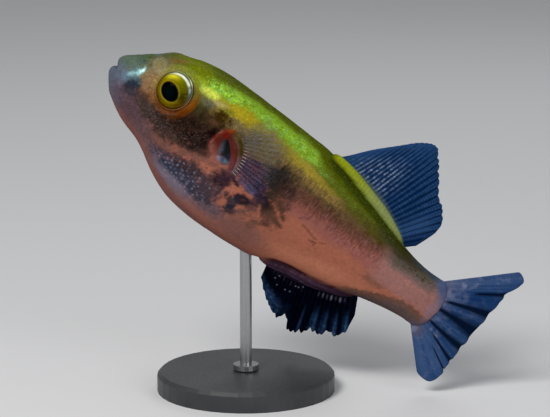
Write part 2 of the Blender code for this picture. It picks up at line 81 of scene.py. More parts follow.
# ---- Lips: each line is (row, value), over rows from the throat of the mouth to the head ----
LIP_ROWS = 7
LIP_WIDTH = [(0, 1.2), (1, 1.45), (2, 1.65), (3, 1.9), (4, 2.2), (5, 2.5), (6, 2.85), (7, 3.4)]
LIP_UP = [(0, 0.0), (1, 0.05), (2, 0.45), (3, 1.55), (4, 2.45), (5, 3.05), (6, 3.9), (7, 4.8)]
LIP_DOWN = [(0, 0.0), (1, 0.05), (2, 0.22), (3, 0.95), (4, 1.75), (5, 2.75), (6, 4.45), (7, 5.4)]
LIP_TOP_AT = [(0, 0.9), (1, 0.05), (2, -0.42), (3, -0.82), (4, -0.52), (5, 0.0), (6, 1.0),
              (7, 2.0)]
LIP_BOTTOM_AT = [(0, 0.9), (1, -0.1), (2, -0.85), (3, -1.14), (4, -0.95), (5, -0.3), (6, 1.0),
                 (7, 2.0)]
LIP_SIDE_AT = [(0, 1.0), (1, 0.45), (2, 0.05), (3, -0.05), (4, 0.15), (5, 0.5), (6, 1.2),
               (7, 2.0)]
LIP_STEPS = 30
HEAD_STEP, TRUNK_STEP, TAIL_STEP = 0.15, 0.25, 0.2
HEAD_START, TRUNK_START, TAIL_START = 2.0, 24.0, 67.6
TAIL_TIP_STEPS = 12
HALF_COLUMNS = 115               # columns of faces down one side
CLOUD_CELLS = 32                 # cells of noise along each way before it repeats

# ---- Eye ----
EYE_AT = (11.7, 4.45)
EYE_RADIUS = 3.9
EYE_HALF_DEPTH = 3.05
EYE_SUNK = 1.5
EYE_LOOKS_FORWARD = math.radians(14)
EYE_LOOKS_UP = math.radians(4)
IRIS_LOOKS_FORWARD = math.radians(21)
IRIS_LOOKS_UP = math.radians(-6.5)
RIM_RADII = (3.66, 3.86)         # fore and aft, up and down
RIM_HEIGHT = 1.42                # over the middle of the eyeball
RIM_TUBE = 0.14
ORBIT_SWELL = 0.6
ORBIT_SPREAD = 5.0

# ---- Brows and nostrils ----
BROW_AT = (7.2, 3.3)
BROW_LENGTH = 2.3
BROW_WIDTH = 1.7
BROW_RISE = 0.75
NOSTRIL_AT = (6.3, 6.25)
NOSTRIL_RADIUS = 1.5

# ---- Gill opening and the root of the pectoral fin, as (p, q) lines ----
GILL_RIM = [(23.9, -0.9), (23.95, 0.6), (24.4, 2.0), (25.2, 3.0), (26.3, 3.5)]
GILL_LIP = [(23.9, -0.9), (24.6, -2.0), (25.7, -2.8), (27.0, -3.3)]
GILL_MOUTH = [(26.3, 0.6), (26.8, -0.1), (27.4, -0.9), (28.0, -1.8), (28.1, -2.3)]
GILL_MOUTH_WIDTH = 1.05
FLAP_LINE = [(25.5, 2.3), (26.6, 1.8), (27.8, 1.0), (28.8, -0.1), (29.5, -1.4), (30.2, -3.0)]
FLAP_HALF_WIDTH = 0.66
FLAP_HALF_THICKNESS = 0.45
FLAP_LIFT = 0.12
PECTORAL_PAD = [(26.5, 3.3), (27.8, 3.0), (28.9, 2.3), (29.7, 1.1), (30.3, -0.3), (30.6, -1.8),
                (30.7, -3.0)]

# ---- Fleshy fin bases, as (distance along, value) ----
DORSAL_BASE_TOP = [(43.6, 11.9), (46.0, 12.65), (50.0, 12.2), (56.0, 10.7), (60.0, 9.5),
                   (64.0, 7.7), (67.2, 5.8)]
ANAL_BASE_TOP = [(44.2, -14.1), (47.0, -14.5), (52.0, -14.0), (56.0, -13.1),
                 (60.0, -11.7), (63.0, -10.5), (66.0, -8.4)]
DORSAL_BASE_HALF_WIDTH = 1.5
ANAL_BASE_HALF_WIDTH = 2.2
FIN_BASE_RIDGE = 1.6
FIN_BASE_ROOT = 1.2

# ---- Fins: tips as (share of the base, along, up) ----
DORSAL_ROOT = (45.6, 67.0)
DORSAL_ROOT_DEPTH = 0.7          # of the blade's foot in its base
DORSAL_TIPS = [(0.0, 47.2, 13.6), (0.1, 50.1, 17.3), (0.2, 53.4, 20.8), (0.35, 57.2, 24.5),
               (0.5, 60.4, 25.4), (0.65, 63.8, 21.5), (0.75, 66.5, 17.8),
               (0.85, 69.3, 15.8), (0.93, 70.3, 12.2), (1.0, 68.8, 7.2)]
ANAL_ROOT = (47.2, 65.6)
ANAL_ROOT_DEPTH = 0.9
ANAL_TIP_DROP = 1.2              # from the blade's foot to where its rays are measured from
ANAL_RAY_LENGTH = [(0.0, 4.5), (0.12, 9.2), (0.3, 13.0), (0.40, 14.2), (0.48, 17.0), (0.6, 16.0),
                   (0.75, 14.4), (0.92, 11.2), (1.0, 5.2)]
ANAL_LEAN = [(0.0, 14.0), (0.3, 12.0), (0.7, 18.0), (1.0, 28.0)]     # degrees back
ANAL_SWEEP = math.radians(42)
CAUDAL_ROOT_HALF_HEIGHT = 5.1
CAUDAL_ROOT_MIDDLE = (77.2, -0.85)
CAUDAL_ROOT_BULGE = 1.2
CAUDAL_TIPS = [(0.0, 89.0, 16.0), (0.07, 90.4, 14.0), (0.2, 89.3, 10.3), (0.4, 89.2, 4.0),
               (0.55, 89.0, -1.6), (0.7, 88.9, -5.6), (0.82, 88.8, -9.2),
               (0.92, 89.0, -11.8), (0.97, 88.2, -14.2), (1.0, 86.0, -14.9)]
PECTORAL_ROOT = [(0.0, 26.2, 5.3), (0.25, 28.0, 5.2), (0.5, 29.5, 3.4), (0.75, 30.3, 1.0),
                 (1.0, 30.3, -1.5)]
PECTORAL_TIPS = [(0.0, 29.6, 12.5), (0.2, 33.5, 11.1), (0.35, 36.1, 9.1), (0.5, 37.45, 6.3),
                 (0.68, 37.65, 2.7), (0.84, 37.65, -0.1), (1.0, 37.2, -2.9)]
PECTORAL_GAP = 0.05              # between the plain skin and the fin's root
PECTORAL_SPREAD = math.radians(14)
PECTORAL_TURN = {LEFT: 0.0, RIGHT: math.radians(35)}


# ======== Numbers ========

def curve(points, x):
    """Smooth line through points (x, value), held level past its ends; x may be an array."""
    at, value = np.array(points, dtype=float).T
    before = np.maximum(np.arange(len(at)) - 1, 0)
    after = np.minimum(np.arange(len(at)) + 1, len(at) - 1)
    slope = (value[after] - value[before]) / (at[after] - at[before])
    x = np.clip(x, at[0], at[-1])
    i = np.clip(np.searchsorted(at, x, side="right") - 1, 0, len(at) - 2)
    span = at[i + 1] - at[i]
    t = (x - at[i]) / span
    return (value[i] * (1 + 2 * t) * (1 - t) ** 2 + slope[i] * span * t * (1 - t) ** 2
            + value[i + 1] * t * t * (3 - 2 * t) - slope[i + 1] * span * t * t * (1 - t))


def line_at(points, share):
    """Places (along, up) on a smooth line through points (share, along, up)."""
    along = curve([(point[0], point[1]) for point in points], share)
    up = curve([(point[0], point[2]) for point in points], share)
    return along, up


def signed_power(value, power):
    return np.sign(value) * np.abs(value) ** power


def ramp(value, start, end):
    """0 up to start and 1 from end on, with a smooth rise between; start may be over end."""
    t = np.clip((value - start) / (end - start), 0.0, 1.0)
    return t * t * (3 - 2 * t)


def hump(value, middle, width):
    return np.exp(-((value - middle) / width) ** 2)


def facing(turn, angle, spread):
    """1 where a turn in degrees points at angle, less over the spread to both sides."""
    return hump((turn - angle + 180) % 360 - 180, 0, spread)


def cloud(points, size, seed):
    """Smooth seeded noise from -1 to 1 in cells of the given size."""
    table = np.random.default_rng(seed).uniform(-1, 1, (CLOUD_CELLS,) * 3)
    cell = np.floor(points / size)
    part = points / size - cell
    part = part * part * (3 - 2 * part)
    cell = cell.astype(int)
    total = 0.0
    for corner in itertools.product((0, 1), repeat=3):
        weight = np.prod(np.where(corner, part, 1 - part), axis=-1)
        x, y, z = np.moveaxis((cell + corner) % CLOUD_CELLS, -1, 0)
        total = total + weight * table[x, y, z]
    return total


def line_gap(p, q, line):
    """Distance from a bent line of (p, q) points, and how far along it, 0 to 1."""
    gap = np.full(np.shape(p), 1e9)
    along = np.zeros(np.shape(p))
    steps = len(line) - 1
    for i, ((p0, q0), (p1, q1)) in enumerate(zip(line, line[1:])):
        length = (p1 - p0) ** 2 + (q1 - q0) ** 2
        t = np.clip(((p - p0) * (p1 - p0) + (q - q0) * (q1 - q0)) / length, 0, 1)
        here = np.hypot(p - p0 - t * (p1 - p0), q - q0 - t * (q1 - q0))
        along = np.where(here < gap, (i + t) / steps, along)
        gap = np.minimum(gap, here)
    return gap, along


def side_coordinates(points):
    """The p and q of markings for places in the fish's frame."""
    x, y, z = np.moveaxis(points, -1, 0)
    y = np.abs(y)
    spread = 1 + SIDE_SPREAD * y
    p = SIDE_MIDDLE[0] + (x + SIDE_SHIFT * y - SIDE_MIDDLE[0]) * spread
    q = SIDE_MIDDLE[1] + (SIDE_HEIGHT * z - SIDE_DROP * y - SIDE_MIDDLE[1]) * spread
    return p, q


# ======== Meshes ========

def wrapped(columns, rows):
    """A grid, and the share across (0 to 1) and along (0 to 1) of each of its corners."""
    work = bmesh.new()
    bmesh.ops.create_grid(work, x_segments=columns, y_segments=rows, size=1.0)
    flat = np.array([corner.co for corner in work.verts])
    return work, (flat[:, 0] + 1) / 2, (flat[:, 1] + 1) / 2


def move_corners(work, places):
    for corner, place in zip(work.verts, places.tolist()):
        corner.co = place


def store(work, name, values):
    """Keeps a colour or three numbers for each corner."""
    layer = work.verts.layers.float_color.new(name)
    for corner, value in zip(work.verts, values.tolist()):
        corner[layer] = (*value, 1.0)


def finish_piece(work, name, finish, replaced=(), merge=0.001):
    """Closes and turns the faces outward, puts the piece in its place and hands it over."""
    if merge:
        bmesh.ops.remove_doubles(work, verts=work.verts, dist=merge)
        bmesh.ops.dissolve_degenerate(work, edges=work.edges, dist=merge / 2)
        bmesh.ops.recalc_face_normals(work, faces=work.faces)
    for face in work.faces:
        face.smooth = True
    work.transform(FISH)
    mesh = bpy.data.meshes.new(name)
    work.to_mesh(mesh)
    work.free()
    piece = bpy.data.objects.new(name, mesh)
    bpy.context.scene.collection.objects.link(piece)
    mesh.materials.append(finish)
    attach(piece, BODY)
    if replaced:
        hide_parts(*replaced)


# ======== The skin's shape ========

def section(along, fine):
    """Plain half sections of the body, one row for each place along it."""
    along = np.asarray(along, dtype=float)[:, None]
    middle = curve(WIDEST_AT, along)
    rise = curve(BACK, along) - middle - SKIN_DEPTH
    drop = middle - curve(BELLY, along) - SKIN_DEPTH
    wide = curve(HALF_WIDTH, along) - SKIN_DEPTH
    past = np.clip((along - (TAIL_END - TAIL_ROUNDING)) / TAIL_ROUNDING, 0, 1)
    rounding = np.sqrt(1 - past ** 2)
    above = np.sin(fine) > 0
    power = 2 / np.where(above, curve(ROUNDNESS_ABOVE, along), ROUNDNESS_BELOW)
    y = wide * rounding ** 0.5 * signed_power(np.cos(fine), power)
    z = middle + np.where(above, rise, drop) * rounding * signed_power(np.sin(fine), power)
    return np.stack(np.broadcast_arrays(along, y, z), axis=-1)


def lip_section(row, fine):
    """Half sections of the lips: they roll in to the closed slit of the mouth."""
    row = np.asarray(row, dtype=float)[:, None]
    lift, across = np.sin(fine), np.cos(fine)
    above = lift > 0
    side_at = curve(LIP_SIDE_AT, row)
    end_at = np.where(above, curve(LIP_TOP_AT, row), curve(LIP_BOTTOM_AT, row))
    power = 2 / ROUNDNESS_BELOW
    x = side_at + (end_at - side_at) * lift ** 2
    y = curve(LIP_WIDTH, row) * signed_power(across, power)
    z = np.where(above, curve(LIP_UP, row), curve(LIP_DOWN, row)) * signed_power(lift, power)
    return np.stack(np.broadcast_arrays(x, y, z), axis=-1)


def evenly_round(sections):
    """The same half sections with their corners spaced evenly round the outline."""
    spaced = []
    for ring in sections:
        gaps = np.linalg.norm(np.diff(ring, axis=0), axis=1)
        run = np.concatenate(([0.0], np.cumsum(gaps)))
        wanted = np.linspace(0, run[-1], HALF_COLUMNS + 1)
        spaced.append(np.stack([np.interp(wanted, run, ring[:, i]) for i in range(3)], axis=-1))
    return np.array(spaced)


def half_skin():
    """Corners of the right half of the plain body, row by row from the mouth to the tail."""
    fine = np.linspace(math.pi / 2, -math.pi / 2, 721)     # from the back round to the belly
    lips = lip_section(np.linspace(0, LIP_ROWS, LIP_STEPS, endpoint=False), fine)
    round_start = TAIL_END - TAIL_ROUNDING
    tip = round_start + TAIL_ROUNDING * np.sin(np.linspace(0, math.pi / 2, TAIL_TIP_STEPS + 1))
    stations = np.concatenate((
        np.arange(HEAD_START, TRUNK_START, HEAD_STEP),
        np.arange(TRUNK_START, TAIL_START, TRUNK_STEP),
        np.arange(TAIL_START, round_start - TAIL_STEP / 2, TAIL_STEP), tip))
    return evenly_round(np.concatenate((lips, section(stations, fine))))


def skin_at(along, up):
    """Distance of the plain skin from the middle plane at a place seen from the side."""
    ring = section([along], np.linspace(math.pi / 2, -math.pi / 2, 361))[0]
    return float(np.interp(up, ring[::-1, 2], ring[::-1, 1]))


def skin_normal(along, up, side):
    step = 0.25
    fore_aft = (skin_at(along + step, up) - skin_at(along - step, up)) / (2 * step)
    rise = (skin_at(along, up + step) - skin_at(along, up - step)) / (2 * step)
    return Vector((-fore_aft, side, -rise)).normalized()


def on_skin(p, q, side):
    """Place on the plain skin, and its outward direction, at side coordinates p and q."""
    y = 8.0                      # a first guess, which each round brings closer
    for _ in range(6):
        spread = 1 + SIDE_SPREAD * y
        along = SIDE_MIDDLE[0] + (p - SIDE_MIDDLE[0]) / spread - SIDE_SHIFT * y
        up = (SIDE_MIDDLE[1] + (q - SIDE_MIDDLE[1]) / spread + SIDE_DROP * y) / SIDE_HEIGHT
        y = skin_at(along, up)
    return Vector((along, side * y, up)), skin_normal(along, up, side)


def looking(forward, upward, side):
    """Directions of an eye's frame: towards the tail, up and out."""
    out = Vector((-math.sin(forward), side * math.cos(forward), math.sin(upward))).normalized()
    back = Vector((1, 0, 0))
    back = (back - out * back.dot(out)).normalized()
    up = out.cross(back) if side < 0 else back.cross(out)
    if up.z < 0:
        up = -up
    return back, up, out


def eye_middle(side):
    out = Vector((-math.sin(EYE_LOOKS_FORWARD), side, math.sin(EYE_LOOKS_UP))).normalized()
    swell = ORBIT_SWELL * min(skin_at(*EYE_AT) / float(curve(HALF_WIDTH, EYE_AT[0])), 1.0)
    return Vector((EYE_AT[0], side * (skin_at(*EYE_AT) + swell), EYE_AT[1])) - out * EYE_SUNK


def outward(skin):
    """Unit normals of the half skin's grid."""
    across = np.gradient(skin, axis=1)
    along = np.gradient(skin, axis=0)
    normal = np.cross(across, along)
    length = np.linalg.norm(normal, axis=-1, keepdims=True)
    normal = normal / np.maximum(length, 1e-9)
    flank = normal[len(skin) // 2, HALF_COLUMNS // 2]
    return normal * (1 if flank[1] > 0 else -1)


def swell_orbits_and_brows(skin):
    x, y, z = np.moveaxis(skin, -1, 0)
    away = np.hypot(x - EYE_AT[0], z - EYE_AT[1]) / ORBIT_SPREAD
    flank = np.minimum(y / curve(HALF_WIDTH, x), 1.0)
    skin[..., 1] += ORBIT_SWELL * np.exp(-away ** 2) * flank
    brow = hump(x, BROW_AT[0], BROW_LENGTH) * hump(y, BROW_AT[1], BROW_WIDTH)
    skin[..., 2] += np.where(z > 0, BROW_RISE * brow, 0.0)


def raise_fin_bases(skin):
    """Lifts the sheaths that carry the dorsal and anal fins out of the back and belly."""
    for top_line, half_width, body_line, way in (
            (DORSAL_BASE_TOP, DORSAL_BASE_HALF_WIDTH, BACK, 1),
            (ANAL_BASE_TOP, ANAL_BASE_HALF_WIDTH, BELLY, -1)):
        x, y, z = np.moveaxis(skin, -1, 0)
        start, end = top_line[0][0], top_line[-1][0]
        share = np.clip((x - start) / (end - start), 0, 1)
        wide = half_width * np.sin(math.pi * (0.06 + 0.9 * share)) ** 0.5 - SKIN_DEPTH
        root = curve(body_line, x) - way * FIN_BASE_ROOT
        grown = ramp(share, 0.0, 0.07) * ramp(share, 1.0, 0.93)
        height = (curve(top_line, x) - way * SKIN_DEPTH - root) * way * (0.55 + 0.45 * grown)
        across = np.clip(y / wide, 0, 1)
        ridge = root + way * height * np.sqrt(1 - across ** FIN_BASE_RIDGE)
        on = (x > start) & (x < end) & (z * way > 0) & (y < wide)
        lifted = np.maximum(z * way, ridge * way) * way
        skin[..., 2] = np.where(on, lifted, z)


def eye_frame(points):
    """Places measured from the middle of the nearer eyeball: back, up and out."""
    back, up, out = looking(EYE_LOOKS_FORWARD, EYE_LOOKS_UP, RIGHT)
    x, y, z = np.moveaxis(points, -1, 0)
    away = np.stack((x, np.abs(y), z), axis=-1) - np.array(eye_middle(RIGHT))
    return away @ np.array(back), away @ np.array(up), away @ np.array(out)


def sink_eye_sockets(skin):
    """Rolls the skin in round the eyeball, with a low fold behind and under it."""
    back, up, height = eye_frame(skin)
    round_eye = np.hypot(back / RIM_RADII[0], up / RIM_RADII[1])
    near_side = height > 0
    ball = EYE_HALF_DEPTH * np.sqrt(np.clip(1 - (back ** 2 + up ** 2) / EYE_RADIUS ** 2, 0, 1))
    inside = ramp(round_eye, 1.06, 0.93) * near_side
    out = np.array(looking(EYE_LOOKS_FORWARD, EYE_LOOKS_UP, RIGHT)[2])
    sunk = np.minimum(height, ball - 0.45)
    skin += ((sunk - height) * inside)[..., None] * out
    turn = np.degrees(np.arctan2(up, back))
    low_behind = facing(turn, -45, 62)
    fold = (0.20 * hump(round_eye, 1.30, 0.10) - 0.16 * hump(round_eye, 1.16, 0.06)) * low_behind
    lip = 0.12 * hump(round_eye, 1.09, 0.05)
    skin += ((fold + lip) * near_side)[..., None] * out


def shape_nostrils(skin, normal):
    place = np.array((NOSTRIL_AT[0], skin_at(*NOSTRIL_AT), NOSTRIL_AT[1]))
    away = np.linalg.norm(skin - place, axis=-1)
    away = away + 0.12 * cloud(skin, 0.8, 13)
    mound = 0.16 * ramp(away, NOSTRIL_RADIUS + 0.35, NOSTRIL_RADIUS - 0.6)
    ring = 0.05 * hump(away, 1.05, 0.28)
    pit = 0.16 * ramp(away, 0.8, 0.2)
    skin += (mound + ring - pit)[..., None] * normal


def shape_gills(skin, normal):
    p, q = side_coordinates(skin)
    right = skin[..., 1] > 3.0
    rim, _ = line_gap(p, q, GILL_RIM)
    lip, _ = line_gap(p, q, GILL_LIP)
    mouth, mouth_at = line_gap(p, q, GILL_MOUTH)
    pad, pad_at = line_gap(p, q, PECTORAL_PAD)
    wide = GILL_MOUTH_WIDTH * (0.45 + 0.55 * np.sin(math.pi * (0.15 + 0.7 * mouth_at)))
    lift = (0.26 * hump(rim, 0, 0.42) + 0.22 * hump(lip, 0, 0.8)
            + 0.34 * hump(pad, 0, 0.55) * np.sin(math.pi * (0.08 + 0.84 * pad_at))
            - 1.15 * ramp(mouth, wide + 0.25, wide - 0.5))
    skin += (lift * right)[..., None] * normal


def shape_lips(skin, normal):
    """A crease behind the lips and fine wrinkles on them."""
    p, q = side_coordinates(skin)
    crease, _ = line_gap(p, q, [(1.2, -3.2), (2.2, -1.0), (3.4, 1.2), (4.6, 3.0)])
    x, y, z = np.moveaxis(skin, -1, 0)
    turn = np.arctan2(z, y)
    front = ramp(x, 2.6, 0.4)
    wrinkle = 0.035 * np.sin(turn * 46) * front * ramp(np.hypot(y, z), 0.8, 1.6)
    skin += (wrinkle - 0.13 * hump(crease, 0, 0.5))[..., None] * normal


def wrinkle_flanks(skin, normal):
    """Shallow slanting creases over the muscles of the flank and soft unevenness all over."""
    comb = comb_marks(skin) * 0.025
    uneven = 0.05 * cloud(skin, 2.6, 11) + 0.02 * cloud(skin, 0.9, 12)
    behind_lips = ramp(skin[..., 0], 1.5, 5.0)
    skin += (comb + uneven * behind_lips)[..., None] * normal


def comb_marks(points):
    """Short upright pale and dark wisps, 1 to -1, along the middle of the flank."""
    p, q = side_coordinates(points)
    wobble = 0.9 * cloud(points, 2.2, 21) + 0.45 * cloud(points, 0.8, 22)
    slant = np.abs(q - 0.6) * 0.3
    rows = q + 0.8 * cloud(points, 1.6, 23)
    where = ramp(p, 38, 46) * ramp(p, 70, 62) * hump(rows, 0.3 - 0.02 * (p - 50), 1.9)
    patchy = ramp(cloud(points, 1.3, 24), -0.5, 0.5)
    return np.sin((p + slant + wobble) * FULL_TURN) * where * patchy


def whole_skin():
    """Corners of the whole skin: down the right side, and up the left."""
    skin = half_skin()
    swell_orbits_and_brows(skin)
    normal = outward(skin)
    shape_nostrils(skin, normal)
    shape_gills(skin, normal)
    shape_lips(skin, normal)
    wrinkle_flanks(skin, normal)
    sink_eye_sockets(skin)
    raise_fin_bases(skin)
    skin[:, 0, 1] = skin[:, -1, 1] = 0.0
    left = skin[:, ::-1] * (1, -1, 1)
    return np.concatenate((skin, left[:, 1:]), axis=1)


# ======== Markings ========

def rgb(red, green, blue):
    """Linear colour from one given as 0 to 255."""
    level = np.array((red, green, blue)) / 255
    return np.where(level <= 0.04045, level / 12.92, ((level + 0.055) / 1.055) ** 2.4)


def blend_colours(base, *layers):
    """Colours from a ground and (colour, amount) layers over it."""
    amounts = np.asarray(layers[0][1])
    colour = np.broadcast_to(rgb(*base), amounts.shape + (3,)).copy()
    for shade, amount in layers:
        colour += (rgb(*shade) - colour) * np.clip(amount, 0, 1)[..., None]
    return colour


class Markings:
    """Pigment, and painted light and shade, laid over places on the fish, layer by layer."""

    def __init__(self, points, ground):
        self.points = points
        self.p, self.q = side_coordinates(points)
        self.coarse = cloud(points, 1.9, 31)
        self.middling = cloud(points, 0.95, 34)
        self.fine = cloud(points, 0.5, 32)
        self.grain = cloud(points, 0.27, 33)
        self.frayed = (0.4 * self.coarse + 0.4 * self.middling + 0.35 * self.fine
                       + 0.3 * self.grain)
        self.colour = np.broadcast_to(rgb(*ground), points.shape).copy()

    def lay(self, colour, amount):
        amount = np.clip(amount, 0, 1)[..., None]
        self.colour += (rgb(*colour) - self.colour) * amount

    def oval(self, at, size, lean=0.0, soft=0.45, fray=0.0):
        """Share of an oval patch; lean turns it, in degrees, up towards the tail."""
        c, s = math.cos(math.radians(lean)), math.sin(math.radians(lean))
        dp, dq = self.p - at[0], self.q - at[1]
        away = np.hypot((dp * c + dq * s) / size[0], (dq * c - dp * s) / size[1])
        return ramp(away + fray * self.frayed, 1 + soft, 1 - soft)

    def over(self, line, soft, fray=0.0):
        """1 well above a line of (p, q) and 0 well below it."""
        return ramp(self.q - curve(line, self.p) + fray * self.frayed, -soft, soft)

    def between(self, start, end, soft):
        """1 between two distances along the fish."""
        return ramp(self.p, start - soft, start + soft) * ramp(self.p, end + soft, end - soft)

    def stroke(self, line, width, fray=0.0):
        gap, _ = line_gap(self.p, self.q, line)
        return hump(gap + fray * self.frayed, 0, width)

    def bands(self, rows):
        for colour, line, soft, fray, start, end in rows:
            self.lay(colour, self.over(line, soft, fray) * self.between(start, end, 2.2))

    def patches(self, rows, wear=0.0):
        """Lays ovals; wear lets the ground show through them in freckles."""
        whole = 1 - wear * ramp(0.4 * self.middling + 0.6 * self.fine + 0.5 * self.grain, 0.0, 0.7)
        for colour, at, size, lean, soft, fray, amount in rows:
            self.lay(colour, amount * whole * self.oval(at, size, lean, soft, fray))

    def ovals(self, rows):
        """Shares of ovals added up: amount, middle (p, q), half sizes, lean and softness."""
        return sum(amount * self.oval(at, size, lean, soft)
                   for amount, at, size, lean, soft in rows)


# Bands that each cover the ones before: colour, lower edge (p, q), softness, fray, start and end
BODY_BANDS = [
    ((132, 80, 72), [(34, -4.2), (44, -3.0), (56, -2.6), (70, -2.0)], 1.2, 0.6, 42, 66),
    ((124, 74, 64), [(30, -3.2), (40, -1.7), (52, -1.0), (60, -0.4), (70, 0.2)], 0.8, 0.5, 34, 68),
    ((104, 63, 53), [(30, -2.0), (40, -0.7), (52, 0.0), (60, 0.5), (70, 1.2)], 0.8, 0.5, 32, 68),
    ((86, 56, 43), [(30, 0.0), (40, 0.6), (52, 0.9), (60, 1.5), (70, 2.2)], 0.8, 0.6, 18, 69),
    ((86, 68, 42), [(24, 2.2), (40, 2.7), (50, 2.5), (60, 2.8), (68, 3.0)], 0.7, 0.6, 16, 68),
    ((112, 90, 48), [(14, 4.6), (24, 4.3), (34, 4.1), (44, 3.9), (50, 3.6), (54, 4.0)], 0.6,
     0.6, 14, 53),
    ((128, 114, 34), [(13, 5.4), (22, 5.3), (30, 5.8), (38, 5.5), (44, 5.2), (50, 5.2),
                      (54, 5.4)], 0.6, 0.6, 14, 51),
    ((74, 68, 18), [(48, 4.6), (54, 4.2), (58, 3.8), (64, 3.3), (70, 2.9)], 0.6, 0.6, 52, 68),
    ((104, 132, 26), [(10, 7.2), (14, 7.6), (18, 7.2), (24, 8.0), (32, 8.0), (38, 7.9),
                      (44, 7.4), (50, 6.2), (56, 5.4)], 0.6, 0.7, 10, 45),
    ((74, 76, 8), [(40, 7.2), (44, 6.4), (50, 5.6), (56, 4.8), (62, 3.8)], 0.6, 0.9, 43, 66),
    ((68, 72, 0), [(6, 8.0), (10, 9.0), (14, 9.5), (18, 9.5), (20, 9.9), (23, 10.6), (30, 11.0),
                   (38, 10.7), (42, 10.3), (44.5, 9.2), (47, 8.3), (50, 7.6), (54, 6.7),
                   (58, 5.9), (62, 5.0), (66, 4.4)], 0.45, 0.4, 8, 68),
    ((46, 50, 4), [(43, 10.9), (45, 9.8), (50, 8.4), (54, 7.3), (58, 6.3), (62, 5.3),
                   (66, 4.5)], 0.4, 0.3, 45, 68),
]
DOT_GAPS = (1.5, 1.3)            # of the pale dots low on the cheek: along and up
DOT_LEAN = 0.16                  # fall of a row of them for each millimetre along
# Line below which the belly is painted darker, as painted shade where it curves under.
UNDERSIDE_SHADE_LINE = [(0, -4.2), (6, -6.6), (14, -9.2), (20, -12.2), (26, -14.0), (34, -14.7), (42, -14.1),
             (46, -13.3), (50, -12.2), (56, -10.6), (62, -9.0), (68, -6.6), (74, -5.0)]

# Patches: colour, middle (p, q), half sizes, lean, softness, fray, amount
BODY_PATCHES = [
    ((90, 64, 66), (7.0, -6.0), (8.0, 4.6), -20, 0.5, 0.1, 1.0),
    ((96, 72, 76), (14.0, -8.6), (6.0, 2.0), -20, 0.6, 0.1, 0.8),
    ((102, 88, 98), (20.5, -11.2), (7.4, 2.4), -10, 0.5, 0.15, 0.95),
    ((112, 100, 114), (21.5, -11.3), (4.6, 1.4), -10, 0.5, 0.2, 0.9),
    ((124, 88, 84), (31.0, -12.6), (8.0, 1.6), -2, 0.7, 0.2, 0.6),
    # Painted light: a lighter patch low on the belly in front of the anal fin, standing in for
    # light that reaches the belly from below.
    ((178, 112, 88), (54.0, -9.6), (11.0, 2.2), 14, 0.7, 0.1, 0.85),
    ((116, 79, 72), (39.0, -11.6), (5.6, 2.4), 4, 0.6, 0.2, 0.9),
    ((94, 77, 84), (30.4, -11.6), (3.4, 1.4), 0, 0.6, 0.3, 0.85),
]
HEAD_PATCHES = [
    ((96, 96, 84), (2.0, 2.6), (6.5, 5.0), 30, 0.5, 0.1, 1.0),
    ((92, 84, 92), (0.6, -2.4), (5.0, 3.4), -35, 0.5, 0.1, 1.0),
    ((84, 88, 44), (7.0, 9.4), (5.0, 2.4), 30, 0.5, 0.2, 1.0),
    ((92, 98, 2), (11.6, 8.3), (5.0, 2.5), 20, 0.4, 0.3, 1.0),
    ((128, 134, 10), (14.2, 7.4), (2.2, 0.9), 10, 0.6, 0.3, 0.8),
    ((86, 88, 34), (8.0, 7.6), (2.8, 1.2), 34, 0.6, 0.4, 0.92),
    ((118, 72, 38), (7.4, 7.3), (2.4, 0.6), 34, 0.6, 1.3, 0.55),
    ((112, 112, 82), (5.4, 6.6), (1.6, 0.5), 40, 0.6, 0.8, 0.6),
    ((76, 88, 58), (4.6, 5.4), (3.6, 1.5), 40, 0.6, 0.3, 0.9),
    ((60, 82, 50), (2.4, 3.7), (3.4, 0.9), 40, 0.6, 0.5, 0.9),
    ((80, 95, 84), (1.8, 2.2), (2.8, 2.0), 35, 0.5, 0.15, 0.9),
    ((80, 88, 102), (0.2, -1.6), (3.0, 2.6), -35, 0.5, 0.15, 0.95),
    ((84, 76, 90), (2.6, -3.8), (2.4, 1.2), -40, 0.6, 0.15, 0.85),
    ((124, 112, 78), (7.2, 3.6), (2.8, 2.8), 40, 0.5, 0.2, 0.97),
    ((114, 96, 66), (6.4, 1.4), (2.2, 2.2), 0, 0.5, 0.25, 0.95),
    ((116, 84, 58), (8.2, -0.6), (2.6, 1.5), -20, 0.6, 0.25, 0.9),
    ((126, 92, 66), (6.6, 2.0), (1.0, 2.0), 0, 0.6, 0.9, 0.6),
    ((72, 50, 42), (7.0, -2.3), (3.2, 1.5), -14, 0.5, 0.6, 0.92),
    ((98, 62, 28), (9.4, -1.2), (2.0, 0.8), -20, 0.6, 0.5, 0.85),
    ((58, 46, 42), (9.8, -2.9), (4.2, 1.6), -10, 0.5, 0.5, 0.88),
    ((74, 56, 62), (6.4, -4.4), (4.4, 1.9), -20, 0.6, 0.3, 0.8),
    ((90, 114, 132), (2.4, -0.4), (0.9, 1.0), 30, 0.6, 0.3, 0.8),
    ((52, 68, 78), (4.2, -0.1), (1.4, 1.0), 20, 0.5, 0.5, 0.92),
    ((26, 36, 48), (4.1, -1.1), (1.3, 0.8), 10, 0.45, 0.5, 0.95),
    ((46, 44, 54), (4.6, -2.2), (1.5, 0.8), -10, 0.5, 0.5, 0.8),
    # Painted highlight: the silvery cyan glint on the snout, in the next four patches.
    ((92, 122, 128), (3.8, 1.7), (0.9, 1.7), -28, 0.5, 0.75, 0.88),
    ((150, 200, 198), (4.2, 2.3), (0.7, 1.2), -22, 0.5, 1.0, 0.95),
    ((200, 236, 232), (4.3, 2.4), (0.4, 0.8), -22, 0.5, 1.3, 0.85),
    ((140, 180, 184), (2.9, 0.6), (0.4, 0.7), -40, 0.5, 1.4, 0.7),
    ((60, 66, 84), (3.6, 4.0), (0.8, 0.4), 30, 0.6, 0.5, 0.5),
    # Painted highlight: the pale blue edge of the brow, where it is lit from behind.
    ((112, 144, 156), (4.8, 7.2), (0.9, 0.5), 42, 0.6, 0.6, 0.55),
]
